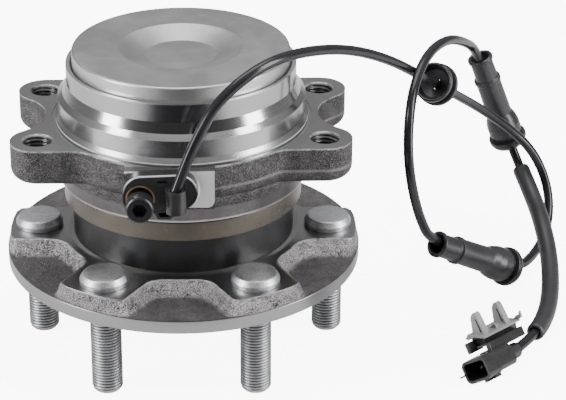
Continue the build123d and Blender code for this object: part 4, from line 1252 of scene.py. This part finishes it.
CARD_COLOUR = (0.02, 0.02, 0.022, 1.0)
PAPER_COLOUR = (0.80, 0.79, 0.80, 1.0)


def floor_paper():
    """Pale paper with a soft shadow where it is seen; the metal mirrors it with a dark card in front."""
    made, tree, shader = bare_material("floor_paper", Roughness=0.9)
    shader.inputs["Base Color"].default_value = (0.9, 0.9, 0.9, 1.0)
    rays = node(tree, "ShaderNodeLightPath")
    glow = node(tree, "ShaderNodeEmission", inputs={"Strength": 8.0})
    both = node(tree, "ShaderNodeAddShader")
    wire(tree, shader.outputs[0], both.inputs[0])
    wire(tree, glow.outputs[0], both.inputs[1])
    seen = node(tree, "ShaderNodeMixShader")
    wire(tree, rays.outputs["Is Camera Ray"], seen.inputs[0])
    wire(tree, shader.outputs[0], seen.inputs[1])
    wire(tree, both.outputs[0], seen.inputs[2])
    x, y, _ = object_place(tree)
    aside = rising(tree, maths(tree, "ABSOLUTE", x), 130.0, 230.0)
    pale = maths(tree, "MAXIMUM", aside, rising(tree, y, -190.0, -135.0))
    grey = node(tree, "ShaderNodeBsdfDiffuse")
    wire(tree, blend_colour(tree, pale, CARD_COLOUR, PAPER_COLOUR), grey.inputs["Color"])
    mirrored = node(tree, "ShaderNodeMixShader")
    wire(tree, rays.outputs["Is Glossy Ray"], mirrored.inputs[0])
    wire(tree, seen.outputs[0], mirrored.inputs[1])
    wire(tree, grey.outputs[0], mirrored.inputs[2])
    output = next(item for item in tree.nodes if item.bl_idname == "ShaderNodeOutputMaterial")
    wire(tree, mirrored.outputs[0], output.inputs["Surface"])
    return made


def studio_walls():
    """Studio walls as light: pale overhead, dim low down and dimmest in front."""
    world = bpy.data.worlds.new("studio")
    world.use_nodes = True
    tree = world.node_tree
    place = node(tree, "ShaderNodeSeparateXYZ")
    wire(tree, node(tree, "ShaderNodeTexCoord").outputs["Generated"], place.inputs[0])
    _, y, z = place.outputs
    strength = spread(tree, z, 0.2, 0.9, 0.32, 0.75)
    front = maths(tree, "MAXIMUM", spread(tree, y, -0.95, -0.1, 0.15, 1.0), spread(tree, z, 0.35, 0.8))
    background = tree.nodes["Background"]
    wire(tree, product(tree, strength, front), background.inputs["Strength"])
    background.inputs["Color"].default_value = (1.0, 1.0, 1.0, 1.0)
    return world


class HUB_OT_stage(bpy.types.Operator):
    """Pale floor, soft studio light and the camera at the photograph's angle"""

    bl_idname = "hub_bearing.stage"
    bl_label = "Stage"

    def execute(self, context):
        scene = context.scene
        ring = np.array([(0.0, 0.0), (0.5, 0.0), (1.5, 0.0), (4.0, 0.0)])
        points, faces = turned_mesh(ring, 96, closed=False)
        floor = linked(bpy.data.objects.new("floor", mesh_of("floor", points, faces, floor_paper())))
        scene.world = studio_walls()
        middle = (0.0, 0.0, 0.09)
        soft_light("left_softbox", (-0.80, -0.32, 0.42), middle, (0.28, 0.9), 13.0)
        soft_light("right_softbox", (0.82, -0.28, 0.42), middle, (0.28, 0.9), 12.0)
        soft_light("top_softbox", (0.0, 0.25, 1.1), middle, (0.8, 0.6), 7.0)
        lens = bpy.data.cameras.new("photo_view")
        lens.sensor_width = 36.0
        lens.lens = 139.48
        lens.clip_start, lens.clip_end = 0.05, 20.0
        camera = linked(bpy.data.objects.new("photo_view", lens))
        camera.location = (0.011081, -0.781936, 0.435305)
        camera.rotation_euler = (math.radians(64.147), math.radians(-0.2684), math.radians(-1.9464))
        scene.camera = camera
        return {"FINISHED"}


class HUB_PT_pieces(bpy.types.Panel):
    """Buttons for each group of pieces and the values they use"""

    bl_label = "Wheel hub bearing"
    bl_space_type = "VIEW_3D"
    bl_region_type = "UI"
    bl_category = "Hub bearing"

    def draw(self, context):
        for operator in OPERATORS:
            self.layout.operator(operator.bl_idname)
        for values in (context.scene.hub_bearing_sizes, context.scene.hub_bearing_colours):
            for name in values.__annotations__:
                self.layout.prop(values, name)


OPERATORS = (
    HUB_OT_forged_hub,
    HUB_OT_wheel_studs,
    HUB_OT_neck_bands,
    HUB_OT_housing,
    HUB_OT_end_cap,
    HUB_OT_bearing_inside,
    HUB_OT_speed_sensor,
    HUB_OT_sensor_lead,
    HUB_OT_grommets,
    HUB_OT_connector,
    HUB_OT_declare_lead,
    HUB_OT_stage,
)
CLASSES = (HubBearingSizes, HubBearingColours) + OPERATORS + (HUB_PT_pieces,)


def register():
    """Makes the classes and their values known."""
    for item in CLASSES:
        bpy.utils.register_class(item)
    bpy.types.Scene.hub_bearing_sizes = PointerProperty(type=HubBearingSizes)
    bpy.types.Scene.hub_bearing_colours = PointerProperty(type=HubBearingColours)


def unregister():
    """Takes them away again."""
    del bpy.types.Scene.hub_bearing_colours
    del bpy.types.Scene.hub_bearing_sizes
    for item in reversed(CLASSES):
        bpy.utils.unregister_class(item)


def main():
    """Builds every piece and the stage."""
    register()
    for operator in OPERATORS:
        category, name = operator.bl_idname.split(".")
        getattr(getattr(bpy.ops, category), name)()


if __name__ == "__main__":
    main()
